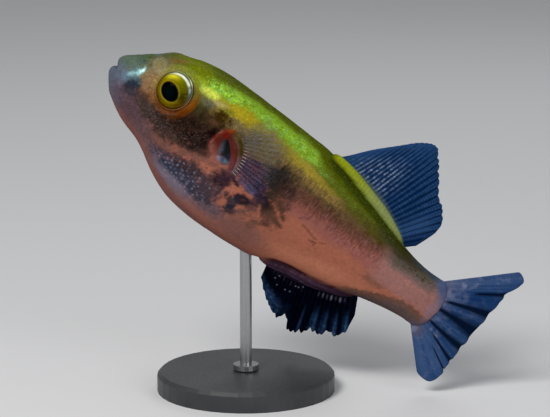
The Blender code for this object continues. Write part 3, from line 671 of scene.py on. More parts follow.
CHEEK_PATCHES = [
    ((82, 60, 58), (16.2, -7.2), (4.6, 1.5), -6, 0.6, 0.5, 0.9),
    ((54, 43, 37), (11.8, -3.4), (4.2, 1.7), -8, 0.5, 0.5, 0.92),
    ((40, 30, 26), (15.4, -3.7), (4.0, 2.0), -6, 0.4, 0.5, 0.96),
    ((88, 88, 48), (17.2, 4.2), (2.8, 1.9), 0, 0.45, 0.3, 0.96),
    ((84, 84, 70), (19.2, 4.9), (1.8, 0.9), 4, 0.5, 0.4, 0.8),
    ((96, 84, 54), (25.2, 4.7), (2.4, 1.1), 0, 0.5, 0.4, 0.85),
    ((52, 44, 22), (18.6, 2.0), (2.9, 2.4), 0, 0.4, 0.4, 0.96),
    ((54, 40, 24), (21.6, 2.2), (2.5, 2.1), 0, 0.4, 0.4, 0.96),
    ((100, 84, 38), (20.5, 4.5), (0.9, 0.9), 0, 0.5, 0.4, 0.7),
    ((46, 30, 2), (22.8, 4.5), (2.0, 1.2), 0, 0.4, 0.5, 0.96),
    ((84, 54, 38), (21.8, 2.5), (1.0, 0.5), 0, 0.5, 0.6, 0.7),
    ((28, 14, 2), (16.4, -1.5), (3.0, 2.2), 0, 0.5, 0.3, 0.98),
    ((54, 38, 34), (18.4, -4.6), (4.8, 1.5), 6, 0.5, 0.5, 0.93),
    ((26, 15, 9), (19.8, -1.4), (4.8, 3.1), -10, 0.35, 0.35, 0.98),
    ((12, 4, 4), (23.1, -0.2), (1.4, 2.4), 0, 0.4, 0.3, 0.98),
    ((24, 14, 11), (22.0, -2.3), (3.0, 1.6), 10, 0.35, 0.4, 0.97),
    ((52, 34, 30), (23.6, -3.6), (1.4, 0.8), 0, 0.5, 0.5, 0.9),
    ((42, 46, 62), (23.4, -9.8), (8.0, 2.0), -6, 0.4, 0.4, 0.97),
    ((46, 38, 44), (24.4, -7.6), (6.6, 1.3), -3, 0.4, 0.7, 0.96),
    ((108, 98, 112), (21.5, -11.6), (4.6, 0.8), -8, 0.5, 0.3, 0.85),
]
FLANK_PATCHES = [
    ((98, 86, 58), (33.6, 4.4), (4.0, 2.8), -6, 0.5, 0.4, 0.85),
    ((88, 78, 66), (30.2, 3.8), (2.0, 1.8), 20, 0.5, 0.4, 0.8),
    ((54, 41, 58), (34.6, -1.2), (4.6, 2.8), -10, 0.35, 0.5, 0.96),
    ((90, 50, 46), (33.8, 0.2), (1.6, 0.8), 0, 0.6, 1.0, 0.6),
    ((38, 24, 42), (33.6, 1.2), (1.3, 0.7), 0, 0.5, 0.9, 0.7),
    ((30, 24, 46), (37.2, -2.4), (1.5, 1.2), -20, 0.4, 0.8, 0.85),
    ((74, 68, 98), (35.4, -3.9), (2.6, 0.6), -12, 0.5, 0.5, 0.7),
    ((56, 45, 32), (39.6, 1.4), (3.2, 3.4), 34, 0.4, 0.7, 0.93),
    ((34, 31, 30), (39.0, 0.8), (2.1, 2.5), 20, 0.5, 0.6, 0.93),
    ((44, 37, 27), (40.2, -2.3), (1.7, 1.2), 0, 0.35, 0.7, 0.94),
    ((28, 21, 44), (39.0, -4.2), (1.6, 1.0), -10, 0.35, 0.7, 0.96),
    ((36, 24, 24), (40.6, -5.0), (1.4, 1.7), 0, 0.35, 0.7, 0.95),
    ((52, 34, 29), (41.8, -0.2), (1.9, 2.0), 0, 0.45, 0.7, 0.9),
    ((74, 48, 40), (42.2, -2.4), (1.9, 1.5), 0, 0.5, 0.9, 0.8),
    ((84, 57, 48), (42.0, -6.4), (1.9, 1.4), 0, 0.5, 1.3, 0.75),
    ((74, 52, 52), (37.9, -6.5), (1.9, 1.2), -10, 0.45, 0.8, 0.85),
    ((58, 48, 56), (29.0, -8.6), (2.8, 2.4), 0, 0.4, 0.7, 0.93),
    ((86, 56, 58), (30.3, -3.2), (1.0, 1.2), 0, 0.4, 0.4, 0.8),
    ((34, 22, 34), (29.8, -5.7), (2.3, 1.8), 14, 0.3, 0.5, 0.97),
    ((44, 31, 42), (31.2, -3.9), (1.2, 0.5), -20, 0.35, 0.5, 0.9),
    ((40, 28, 40), (32.6, -4.5), (0.9, 0.5), -8, 0.3, 0.6, 0.94),
    ((26, 21, 31), (35.5, -6.3), (2.1, 1.0), 8, 0.3, 0.6, 0.97),
    ((36, 37, 47), (34.2, -8.3), (1.0, 1.3), 0, 0.4, 0.9, 0.88),
    ((30, 34, 46), (34.7, -9.6), (1.4, 0.9), 0, 0.4, 0.8, 0.93),
    ((50, 36, 44), (38.2, -5.1), (1.5, 1.1), 0, 0.45, 0.8, 0.85),
    ((82, 50, 50), (30.0, -1.9), (1.4, 1.9), 0, 0.5, 0.5, 0.85),
    ((98, 66, 60), (38.4, -8.2), (2.0, 0.7), 20, 0.5, 1.1, 0.7),
    ((70, 48, 36), (42.6, -3.2), (1.6, 0.5), -28, 0.5, 1.4, 0.85),
    ((58, 40, 34), (44.2, -4.4), (0.8, 0.5), -30, 0.5, 1.4, 0.88),
    ((58, 42, 36), (44.4, -6.2), (0.7, 0.5), 0, 0.5, 1.4, 0.85),
    ((76, 52, 42), (43.1, -5.9), (1.4, 0.4), -14, 0.6, 1.4, 0.8),
    ((70, 46, 38), (42.2, -7.6), (0.9, 0.5), 10, 0.6, 1.2, 0.65),
    ((92, 62, 52), (39.8, -9.4), (0.9, 1.1), 0, 0.6, 1.2, 0.6),
    ((86, 64, 60), (36.9, -8.2), (1.8, 0.4), 35, 0.5, 1.0, 0.75),
    ((58, 42, 44), (32.3, -7.3), (0.8, 0.6), 0, 0.5, 1.0, 0.85),
    ((108, 70, 60), (66.6, -3.8), (2.6, 0.9), 6, 0.5, 0.4, 0.7),
    ((62, 52, 14), (61.4, 4.0), (4.6, 1.0), -14, 0.6, 0.9, 0.75),
    ((44, 42, 12), (64.4, 3.9), (2.4, 0.7), -12, 0.6, 0.9, 0.6),
]
STALK_BANDS = [
    ((140, 97, 91), [(60, -4.0), (68, -3.4), (80, -3.0)], 0.9, 0.5, 65, 90),
    ((104, 84, 80), [(60, 0.2), (68, 0.6), (80, 0.9)], 0.7, 0.5, 66, 78),
    ((76, 68, 58), [(60, 1.0), (68, 1.5), (80, 2.6)], 0.6, 0.7, 66, 77),
    ((52, 44, 28), [(60, 3.0), (66, 2.9), (70, 3.1), (75, 3.0)], 0.5, 0.6, 65, 74),
    ((50, 60, 68), [(68, 4.0), (74, 3.6), (80, 3.2)], 0.5, 0.4, 71, 79),
    ((46, 44, 18), [(58, 5.8), (62, 4.4), (66, 3.6), (70, 3.9)], 0.5, 0.5, 61, 69),
]
FOLDS = [                        # thin dark lines on the flank
    [(48.2, -3.2), (49.6, -3.4), (51.0, -3.8), (52.4, -4.0)],
    [(51.2, -4.9), (52.4, -4.6), (53.2, -4.0), (54.2, -3.6)],
    [(46.8, -2.6), (47.6, -1.9), (48.6, -1.5)],
    [(52.8, -4.4), (52.4, -5.2)],
    [(42.4, -4.6), (43.6, -5.6), (44.8, -6.4)],
]


# Ovals added up: amount, middle (p, q), half sizes, lean, softness
BROWN_FRECKLES = [
    (0.8, (27.0, -5.6), (4.4, 1.6), 4, 0.5), (0.8, (42.4, -5.0), (3.4, 3.0), -20, 0.5),
    (0.6, (37.5, -8.6), (4.6, 2.6), 0, 0.5), (1.0, (43.4, 1.4), (4.4, 2.4), 0, 0.6),
]
FINE_FRECKLES = [
    (0.6, (20.5, 0.5), (5.5, 5.0), -10, 0.5), (0.7, (26, 5.0), (8, 3.0), 0, 0.5),
    (0.6, (44, 3.4), (14, 3.6), -4, 0.5), (0.5, (19, -6.6), (8, 3.0), 4, 0.5),
    (0.5, (37, -3.0), (5, 5), 0, 0.5), (0.9, (8, -2.0), (6, 4), 0, 0.5),
    (0.8, (6, 5.0), (7, 4), 30, 0.5), (0.4, (72, 2.4), (7, 2.6), -4, 0.5),
]
NETTED = [                       # the net of fine lines on the cheek
    (1.0, (12.6, -3.7), (4.6, 1.8), -6, 0.4), (1.0, (17.0, -3.6), (4.4, 2.2), -6, 0.4),
    (0.9, (20.4, -1.8), (3.6, 2.8), -10, 0.4), (0.35, (27.0, -6.4), (5.0, 2.0), 0, 0.5),
]
COMBED = [                       # upright wisps
    (1.0, (45.0, 2.6), (9.0, 3.4), -4, 0.4), (1.0, (58.0, 0.8), (9.0, 2.4), -4, 0.5),
    (0.5, (27.5, 5.4), (7.0, 2.0), 0, 0.5),
]
DASHED = [                       # the dashes on the cheek
    (1.0, (12.4, -4.0), (4.8, 1.6), -6, 0.4), (0.5, (18.5, -3.0), (4.0, 2.6), 0, 0.4),
    (0.3, (16, -5.2), (5, 1.0), 0, 0.5),
]


def paint_body(m):
    m.patches(BODY_PATCHES)
    m.bands(BODY_BANDS)
    # Painted shade: darker below that line, where the belly curves under.
    m.lay((118, 76, 70), 1 - m.over(UNDERSIDE_SHADE_LINE, 0.6))


def lay_painted_sheen(m):
    """Green and golden shine along the back, painted in as highlight: a painted sheen band with
    painted glints in it, a painted highlight behind the eye, and a few yellow and olive patches.
    """
    line = [(14, 8.0), (18, 8.4), (23, 9.1), (28, 9.5), (36, 9.4), (41, 9.1), (45, 7.8),
            (50, 6.9), (56, 6.0)]
    width = curve([(14, 1.2), (19, 1.2), (25, 1.1), (34, 1.1), (41, 1.2), (45, 0.8), (56, 0.6)],
                  m.p)
    # Painted sheen: a lighter green band along the back.
    sheen_highlight = hump((m.q - curve(line, m.p) + 0.5 * m.frayed) / width, 0, 1.0)
    sheen_highlight = sheen_highlight * curve([(12, 0), (14.5, 0.6), (17, 1), (21, 1.0), (26, 0.7), (31, 0.7),
                         (40, 0.75), (44, 0.35), (48, 0.10), (54, 0.05), (60, 0.0)], m.p)
    m.lay((120, 156, 40), sheen_highlight * 0.9)
    # Painted glints in the sheen band: pale flecks, darker flecks between them and cool green
    # flecks.
    bright = ramp(0.6 * m.fine + 0.6 * m.grain + 0.4 * m.middling, -0.1, 0.6)
    m.lay((156, 200, 64), sheen_highlight * bright * curve([(14, 0.5), (17, 1), (22, 1), (28, 0.35),
                                                 (38, 0.6), (46, 0.25), (60, 0.1)], m.p))
    flecks = sheen_highlight * m.between(14, 58, 3)
    dark = ramp(0.5 * m.middling + m.fine + 0.6 * m.grain, -0.1, -0.8)
    m.lay((82, 96, 8), flecks * dark * 0.6)
    cool = ramp(0.7 * m.middling + 0.8 * m.grain - 0.4 * m.fine, 0.25, 0.75)
    m.lay((128, 186, 116), flecks * cool * 0.6)
    # Painted highlight: the golden spot behind the eye.
    gold_highlight = m.oval((17.4, 6.7), (2.3, 0.95), 6, 0.4, 0.4)
    m.lay((200, 208, 82), gold_highlight * (0.8 + 0.3 * m.fine))
    m.patches([((148, 132, 22), (25.0, 7.4), (3.6, 1.3), 8, 0.5, 0.6, 0.9),
               ((160, 150, 96), (20.6, 6.2), (1.8, 0.5), 10, 0.6, 0.5, 0.7),
               ((84, 84, 20), (23.0, 6.0), (1.3, 0.6), 10, 0.5, 0.6, 0.7),
               ((146, 124, 40), (43.0, 6.3), (3.2, 0.7), -4, 0.6, 0.6, 0.6)])
    return sheen_highlight, gold_highlight


def paint_head(m):
    m.patches(HEAD_PATCHES)
    m.lay((30, 46, 16), ramp(m.fine + 0.8 * m.grain, 0.1, 0.7)
          * m.oval((4.6, 5.6), (5.5, 2.0), 42, 0.5) * 0.6)
    # Nostril saucers
    nostril_p, nostril_q = side_of(NOSTRIL_AT)
    away = np.hypot(m.p - nostril_p, (m.q - nostril_q) * 0.85) + 0.25 * m.frayed
    for shade, amount in (((110, 102, 80), ramp(away, 1.7, 1.0) * 0.5),
                          ((70, 68, 50), hump(away, 1.6, 0.26) * 0.35),
                          ((138, 126, 98), hump(away, 1.15, 0.28) * 0.3),
                          ((118, 108, 40), hump(away, 0.3, 0.4) * 0.5)):
        m.lay(shade, amount)


def side_of(at):
    """The p and q of a place seen from the side."""
    p, q = side_coordinates(np.array((at[0], skin_at(*at), at[1])))
    return float(p), float(q)


def paint_cheek(m):
    m.patches(CHEEK_PATCHES, 0.15)
    m.lay((112, 73, 64), m.stroke([(14, -6.8), (17, -7.0), (20, -6.2), (23, -5.1), (26, -4.2),
                                   (30, -3.7)], 0.6, 0.5) * 0.85)
    p, q = m.p, m.q
    m.lay((16, 10, 8), ramp(m.fine + 0.6 * m.grain, 0.25, 0.7)
          * m.oval((19.6, 0.6), (4.6, 3.8), -8, 0.4) * 0.6)
    # Pale dots in leaning rows low on the cheek
    row = (q + DOT_LEAN * p) * FULL_TURN / DOT_GAPS[1]
    dot = np.cos(row) * np.cos(p * FULL_TURN / DOT_GAPS[0]
                               + math.pi * np.round(row / FULL_TURN))
    dotted = (m.oval((24.4, -9.8), (7.6, 2.1), -6, 0.4, 0.2) * 0.6
              + m.oval((29.0, -6.6), (3.4, 2.2), 0, 0.5, 0.2) * 0.4)
    m.lay((118, 116, 134), ramp(dot + 0.3 * m.fine, 0.3, 1.0) * dotted)


# Skin round the eye: colour, direction and spread (degrees), distance and width (1 is the rim)
EYELIDS = [
    ((108, 114, 34), 80, 50, 1.14, 0.30, 0.9), ((118, 116, 56), 140, 36, 1.14, 0.28, 0.85),
    ((130, 108, 62), 195, 30, 1.14, 0.28, 0.85), ((112, 76, 44), 235, 26, 1.12, 0.26, 0.9),
    ((78, 48, 22), 268, 26, 1.14, 0.24, 0.9), ((84, 36, 0), -32, 46, 1.24, 0.27, 0.98),
    ((104, 58, 2), 4, 24, 1.28, 0.24, 0.95), ((92, 86, 26), 32, 18, 1.18, 0.22, 0.85),
    ((104, 54, 6), -84, 34, 1.05, 0.10, 0.85), ((36, 20, 6), -34, 40, 1.54, 0.10, 0.6),
    ((122, 68, 8), -8, 34, 1.15, 0.06, 0.7), ((66, 38, 12), -70, 22, 1.30, 0.14, 0.7),
]


def paint_eyelids(m):
    """The skin just round the eye, with its orange fold low behind."""
    back, up, height = eye_frame(m.points)
    round_eye = np.hypot(back / RIM_RADII[0], up / RIM_RADII[1])
    near = (height > -2.5) * 1.0
    turn = np.degrees(np.arctan2(up, back))
    for shade, angle, spread, away, width, amount in EYELIDS:
        ring = ramp(np.abs(round_eye - away), width, 0.35 * width)
        m.lay(shade, ring * facing(turn, angle, spread) * near * amount)


def paint_gills(m):
    p, q = m.p, m.q
    lip, _ = line_gap(p, q, GILL_LIP)
    rim, rim_at = line_gap(p, q, GILL_RIM)
    mouth, _ = line_gap(p, q, GILL_MOUTH)
    pad, pad_at = line_gap(p, q, PECTORAL_PAD)
    m.patches([((74, 26, 19), (25.2, 0.6), (1.6, 2.8), -18, 0.3, 0.25, 0.97),
               ((98, 52, 46), (25.2, -1.8), (1.4, 0.9), -40, 0.5, 0.4, 0.85)])
    m.lay((60, 18, 12), ramp(m.fine + m.grain, 0.1, 0.8)
          * m.oval((25.0, 0.8), (1.0, 2.0), -18) * 0.5)
    m.lay((122, 72, 64), hump(lip, 0, 0.55) * (0.85 + 0.3 * m.fine))
    m.lay((98, 36, 22), hump(rim, 0, 0.42) * (0.5 + 0.5 * ramp(rim_at, 0.1, 0.5)))
    m.lay((112, 44, 8), hump(rim, 0, 0.34) * ramp(rim_at, 0.5, 0.9) * 0.85)
    m.patches([((104, 16, 8), (25.5, 2.0), (0.6, 0.5), -40, 0.5, 0.3, 0.9),
               ((60, 40, 44), (26.5, -1.3), (0.8, 0.8), 0, 0.4, 0.2, 0.95)])
    # Painted shade: the slit of the gill opening is painted dark, for the depth of the opening
    # beyond its shallow hollow.
    m.lay((46, 48, 54), ramp(mouth + 0.10 * m.frayed, GILL_MOUTH_WIDTH, GILL_MOUTH_WIDTH - 0.45))
    # Painted shade deep in the opening (the first patch) and a painted highlight along its front
    # edge (the second).
    m.patches([((22, 25, 26), (27.4, -0.2), (2.0, 0.8), -52, 0.4, 0.35, 0.96),
               ((92, 98, 110), (26.2, -0.7), (0.4, 1.3), 15, 0.5, 0.8, 0.85),
               ((28, 36, 54), (28.2, -0.9), (0.5, 0.4), 0, 0.5, 0.4, 0.8),
               ((92, 104, 126), (27.4, -2.4), (1.2, 0.6), 8, 0.45, 0.4, 0.95),
               ((140, 150, 168), (27.0, -2.2), (0.5, 0.14), 20, 0.5, 0.5, 0.8)])
    # Root of the pectoral fin: an olive crescent
    crescent = hump(pad, 0, 0.46)
    m.lay((66, 54, 26), crescent * ramp(pad_at, 0.35, 0.1) * 0.8)
    m.lay((46, 38, 2), crescent * ramp(pad_at, 0.08, 0.25) * ramp(pad_at, 0.75, 0.5))
    m.lay((96, 74, 80), hump(pad, 0, 0.4) * ramp(pad_at, 0.55, 0.8) * 0.8)


def paint_flank(m):
    m.patches(FLANK_PATCHES, 0.12)
    # Frayed brown freckles round the dark patches, creases, and faint upright wisps
    m.lay((62, 42, 36), ramp(0.5 * m.middling + 0.6 * m.fine + 0.6 * m.grain, 0.2, 0.6)
          * np.clip(m.ovals(BROWN_FRECKLES), 0, 1) * 0.8)
    m.lay((58, 40, 38), m.stroke([(31.4, -5.2), (31.0, -8.0), (30.4, -11.2)], 0.13, 0.08) * 0.8)
    for line in FOLDS:
        m.lay((84, 48, 38), m.stroke(line, 0.15, 0.18) * 0.7)
    comb = comb_marks(m.points)
    m.lay((138, 98, 104), ramp(comb, 0.1, 0.8) * 0.45)
    m.lay((54, 30, 26), ramp(-comb, 0.1, 0.8) * curve([(50, 0.6), (57, 0.2)], m.p))


def paint_tail_stalk(m):
    p = m.p
    m.bands(STALK_BANDS)
    # Grey-brown keel with an uneven upper edge
    scallop = 0.4 * np.abs(np.sin(p * 1.7 + 2.5 * m.coarse)) * ramp(p, 60, 66)
    edge = m.q - curve([(60, -9.0), (64, -7.2), (66, -6.2), (70, -4.5), (74, -3.0), (78, -3.2)],
                       p) + scallop + 0.3 * m.frayed
    m.lay((90, 66, 56), ramp(edge, 0.3, -0.3) * m.between(62, 82, 2) * 0.88)
    m.lay((82, 68, 68), ramp(edge, -0.7, -1.6) * m.between(62, 82, 2) * 0.85)
    m.lay((30, 30, 28), ramp(m.fine + 0.5 * m.grain, 0.2, 0.7)
          * m.oval((72.5, 3.0), (4.4, 1.3), -6, 0.5) * 0.7)
    # Both corners of the stump take the colour of the tail fin
    end = m.between(76.6, 95, 1.2)
    m.lay((66, 78, 110), end * m.over([(75.0, 4.0), (77.6, 2.6), (80.4, -0.6)], 1.0, 0.4))
    under = 1 - m.over([(75.0, -6.2), (78.0, -5.6), (80.4, -4.8)], 0.6, 0.4)
    m.lay((74, 72, 94), end * under * 0.9)
    m.lay((122, 106, 122), m.between(78.4, 95, 0.8) * 0.5
          * m.oval((79.8, -1.4), (1.8, 3.6), 0, 0.5))


def paint_fin_bases(m):
    p, q = m.p, m.q
    z = m.points[..., 2]
    # Dorsal sheath
    foot = curve([(43.6, 11.0), (46, 10.6), (50, 9.9), (56, 8.3), (60, 7.2), (67.4, 5.2)], p)
    on = ramp(p, 44.2, 46.0) * ramp(p, 67.8, 66.6) * (z > 0)
    sheath = ramp(q - foot, -0.1, 0.45) * on
    tone = curve([(44, 0), (52, 0.15), (58, 0.9), (67, 1.0)], p)
    m.lay((132, 140, 10), sheath)
    m.lay((124, 134, 88), sheath * tone * 0.85)
    rib = np.sin(p * FULL_TURN / 0.77)
    m.lay((94, 102, 10), sheath * ramp(rib + 0.5 * m.fine, 0.2, 0.9) * 0.35)
    m.lay((84, 92, 20), sheath * ramp(q - foot, 1.0, 0.1) * 0.6)
    m.lay((42, 46, 4), hump(q - foot + 0.25 * m.frayed, -0.30, 0.36) * on * 0.9)
    # Anal sheath
    head = curve([(46.0, -13.0), (48.5, -12.0), (51, -11.3), (56.5, -10.5), (61, -9.5),
                  (63.5, -9.0), (66.6, -8.0)], p) + 0.10 * m.frayed
    on = ramp(p, 45.6, 48.0) * ramp(p, 68.5, 66.0) * (z < 0)
    sheath = ramp(head - q, -0.1, 0.4) * on
    m.lay((60, 40, 54), sheath)
    m.lay((26, 20, 38), sheath * ramp(head - q, 1.0, 2.0) * 0.9)
    stripe = np.sin((head - q) * FULL_TURN / 0.8 + 0.5 * m.fine)
    m.lay((92, 66, 84), sheath * ramp(stripe, 0.2, 0.9) * 0.5)
    m.lay((22, 16, 38), sheath * ramp(p, 55, 64) * 0.6)
    m.lay((46, 12, 18), hump(head - q, 0.08, 0.26) * on)


def paint(points):
    """Colour of the skin at places on it, painted light and shade included, and two sets of three
    shares that its finish reads: painted glint, freckles and shine, then net, wisps and nothing."""
    m = Markings(points, (148, 89, 70))
    paint_body(m)
    sheen_highlight, gold_highlight = lay_painted_sheen(m)
    paint_head(m)
    paint_cheek(m)
    paint_eyelids(m)
    paint_flank(m)
    paint_gills(m)
    paint_tail_stalk(m)
    paint_fin_bases(m)
    # Where the finish paints glints: the sheen band, the golden highlight and, more thinly, the
    # whole back.
    back = m.over([(8, 7), (16, 6), (40, 6.4), (66, 4)], 1.0)
    painted_glint_share = np.clip(sheen_highlight + 0.5 * gold_highlight + 0.16 * back * m.between(9, 66, 3), 0, 1)
    freckle, net, combed = (np.clip(m.ovals(rows), 0, 1)
                            for rows in (FINE_FRECKLES, NETTED, COMBED))
    uneven = (0.05 + 0.14 * freckle) * m.fine + (0.06 + 0.16 * freckle) * m.grain
    m.colour *= (1 + uneven)[..., None]
    snout = m.oval((3.7, 1.4), (1.0, 2.2), -28, 0.45)
    shine = np.clip(0.6 * snout + sheen_highlight * 0.5 + gold_highlight * 0.4, 0, 1)
    return (m.colour, np.stack((painted_glint_share, freckle, shine), axis=-1),
            np.stack((net, combed, np.zeros_like(net)), axis=-1))


# ======== Pieces ========

def make_skin(finish):
    skin = whole_skin()
    rows, columns = skin.shape[0] - 1, skin.shape[1] - 1
    work, across, along = wrapped(columns, rows)
    column = np.rint(across * columns).astype(int)
    row = np.rint(along * rows).astype(int)
    places = skin[row, column]
    move_corners(work, places)
    for name, values in zip(("paint", "glints_and_freckles", "lines"), paint(places)):
        store(work, name, values)
    finish_piece(work, "fish_skin", finish,
                 ("head", "trunk", "tail_stalk", "upper_lip", "lower_lip", "nostril_left",
                  "nostril_right", "dorsal_fin_base", "anal_fin_base"))
    return skin


IRIS_RADIUS = 3.36
PUPIL_AT = (0.06, -0.02)         # back and up from the middle of the iris
PUPIL_RADII = (2.0, 1.62)
# Ring outside the iris: colour, direction and spread in degrees, amount. Its pale silvery top is
# partly the eye's silvery tissue and partly a painted highlight.
CRESCENT = [
    ((94, 72, 52), 0, 16, 0.9), ((70, 82, 80), 20, 18, 0.9), ((92, 120, 108), 40, 14, 0.9),
    ((200, 212, 190), 64, 16, 1.0), ((186, 200, 168), 90, 26, 0.95),
    ((204, 206, 150), 118, 18, 0.95), ((156, 168, 106), 142, 14, 0.9),
    ((110, 104, 38), 165, 18, 0.9), ((128, 106, 50), 192, 26, 0.8), ((120, 78, 34), 236, 30, 0.8),
    ((110, 62, 14), 264, 20, 0.8), ((110, 74, 12), 296, 24, 0.8), ((92, 54, 12), 330, 18, 0.8),
]
# The iris: colour, direction and spread in degrees, where it starts from the middle, amount. The
# dark olive towards 12 degrees is painted shade on the rear of the iris.
IRIS = [
    ((82, 86, 2), 62, 36, 1.6, 0.9), ((112, 112, 2), 100, 24, 2.0, 0.8),
    ((46, 44, 2), 12, 32, 1.8, 0.95), ((80, 50, 2), -28, 26, 2.0, 0.9),
    ((108, 88, 2), -66, 26, 1.8, 0.8), ((84, 54, 2), -120, 26, 2.3, 0.85),
    ((88, 68, 2), 200, 36, 2.2, 0.8), ((160, 154, 14), 126, 26, 2.1, 0.9),
]
# The ring of skin round the eyeball: colour, direction and spread in degrees, amount
EYE_RIM = [
    ((112, 124, 84), 96, 40, 0.95), ((196, 206, 164), 60, 11, 0.8), ((72, 86, 58), 24, 18, 0.9),
    ((112, 82, 52), -8, 16, 0.8), ((104, 70, 34), -26, 16, 0.8), ((128, 104, 58), 185, 30, 0.8),
    ((118, 78, 42), 222, 24, 0.8), ((84, 40, 8), 262, 24, 0.9), ((90, 46, 4), 300, 26, 0.9),
]


def set_in_eye(work, side):
    """Turns a piece that is modelled looking up to look out of the head with the eyeball."""
    turn = Matrix(looking(EYE_LOOKS_FORWARD, EYE_LOOKS_UP, side)).transposed()
    middle = eye_middle(side)
    for corner in work.verts:
        corner.co = middle + turn @ corner.co


def make_eyeball(side, name, finish):
    """An eyeball turned from its half outline, with corners packed close round the iris."""
    work = bmesh.new()
    polar = np.concatenate((np.linspace(0, 1.35, 96), np.linspace(1.35, math.pi, 24)[1:]))
    corners = [work.verts.new((math.sin(a), 0, math.cos(a))) for a in polar]
    edges = [work.edges.new(pair) for pair in zip(corners, corners[1:])]
    bmesh.ops.spin(work, geom=corners + edges, cent=(0, 0, 0), axis=(0, 0, 1),
                   angle=FULL_TURN, steps=120, use_merge=True, use_duplicate=False)
    bmesh.ops.remove_doubles(work, verts=work.verts, dist=0.0001)
    bmesh.ops.scale(work, vec=(EYE_RADIUS, EYE_RADIUS, EYE_HALF_DEPTH), verts=work.verts)
    set_in_eye(work, side)
    places = np.array([corner.co for corner in work.verts])
    store(work, "paint", paint_eye(places, side))
    finish_piece(work, "eyeball_" + name, finish, ("eye_" + name,), merge=0.0005)


def paint_eye(places, side):
    """Colour of the iris, the pupil and the pale crescents round them."""
    back, up, out = (np.array(way) for way in looking(IRIS_LOOKS_FORWARD, IRIS_LOOKS_UP, side))
    away = places - np.array(eye_middle(side))
    u, v, w = away @ back, away @ up, away @ out
    even = np.stack((u, v, w), axis=-1)
    coarse, fine = cloud(even, 1.1, 51), cloud(even, 0.4, 52)
    r = np.hypot(u, v)
    turn = np.degrees(np.arctan2(v, u))

    def towards(angle, spread):
        return facing(turn, angle, spread)

    iris = ramp(r, IRIS_RADIUS, IRIS_RADIUS - 0.1)
    ray = np.sin(np.radians(turn) * 44 + 4 * coarse)
    cu, cv = u - PUPIL_AT[0], v - PUPIL_AT[1]
    lean = math.radians(-18)
    pupil = np.hypot((cu * math.cos(lean) + cv * math.sin(lean)) / PUPIL_RADII[0],
                     (cv * math.cos(lean) - cu * math.sin(lean)) / PUPIL_RADII[1])
    brim = hump(pupil, 1.2, 0.12) * iris
    thin_brim = hump(pupil, 1.10, 0.04) * iris
    return blend_colours(
        (116, 88, 40),
        *((shade, towards(angle, spread) * amount) for shade, angle, spread, amount in CRESCENT),
        # Painted highlight: the thin near-white arc along the top of the crescent.
        ((240, 246, 232), towards(84, 30) * hump(r, 3.54, 0.14)
         * (0.7 + 0.6 * fine + 0.4 * coarse)),
        ((112, 124, 84), towards(94, 46) * ramp(r, 3.62, 3.8) * 0.8),
        ((200, 220, 226), towards(40, 10) * ramp(fine, -0.2, 0.8) * 0.6),
        ((70, 80, 66), towards(50, 5) * 0.6),
        ((60, 56, 20), hump(r, IRIS_RADIUS, 0.08) * (0.7 - 0.5 * towards(100, 50))),
        ((98, 82, 2), iris),
        *((shade, iris * towards(angle, spread) * ramp(r, start, start + 0.5) * amount)
          for shade, angle, spread, start, amount in IRIS),
        ((214, 202, 40), iris * towards(121, 22) * hump(r, 3.0, 0.3) * (0.8 + 0.4 * fine)),
        ((64, 56, 2), iris * ramp(ray + fine, 0.0, 1.6) * 0.4),
        ((136, 124, 8), iris * ramp(fine - 0.5 * ray, 0.2, 1.2) * 0.35),
        ((126, 110, 8), brim * (0.6 + 0.3 * towards(285, 60) - 0.6 * towards(10, 40))),
        ((176, 166, 60), thin_brim * (0.5 + 0.3 * fine) * (0.45 + 0.5 * towards(280, 70))),
        ((30, 27, 2), hump(pupil, 1.04, 0.05)), ((1, 4, 5), ramp(pupil, 1.03, 0.98)),
        ((2, 12, 12), ramp(pupil, 0.7, 0.2) * 0.5), ((60, 52, 44), ramp(w, 0.9, 0.3)))


def make_eye_rim(side, name, finish):
    """The thin pale ring of skin that the eyeball sits in."""
    work = bmesh.new()
    ring = bmesh.ops.create_circle(work, segments=12, radius=RIM_TUBE,
                                   matrix=Matrix.Translation((RIM_RADII[0], 0, RIM_HEIGHT))
                                   @ Matrix.Rotation(math.pi / 2, 4, "X"))
    bmesh.ops.spin(work, geom=ring["verts"] + work.edges[:], cent=(0, 0, 0), axis=(0, 0, 1),
                   angle=FULL_TURN, steps=96, use_merge=True, use_duplicate=False)
    bmesh.ops.scale(work, vec=(1, RIM_RADII[1] / RIM_RADII[0], 1), verts=work.verts)
    turn = np.degrees([math.atan2(corner.co.y, corner.co.x) for corner in work.verts])
    set_in_eye(work, side)
    store(work, "paint", blend_colours(
        (110, 86, 44), *((shade, facing(turn, angle, spread) * amount)
                         for shade, angle, spread, amount in EYE_RIM)))
    finish_piece(work, "eye_rim_" + name, finish, merge=0.0005)


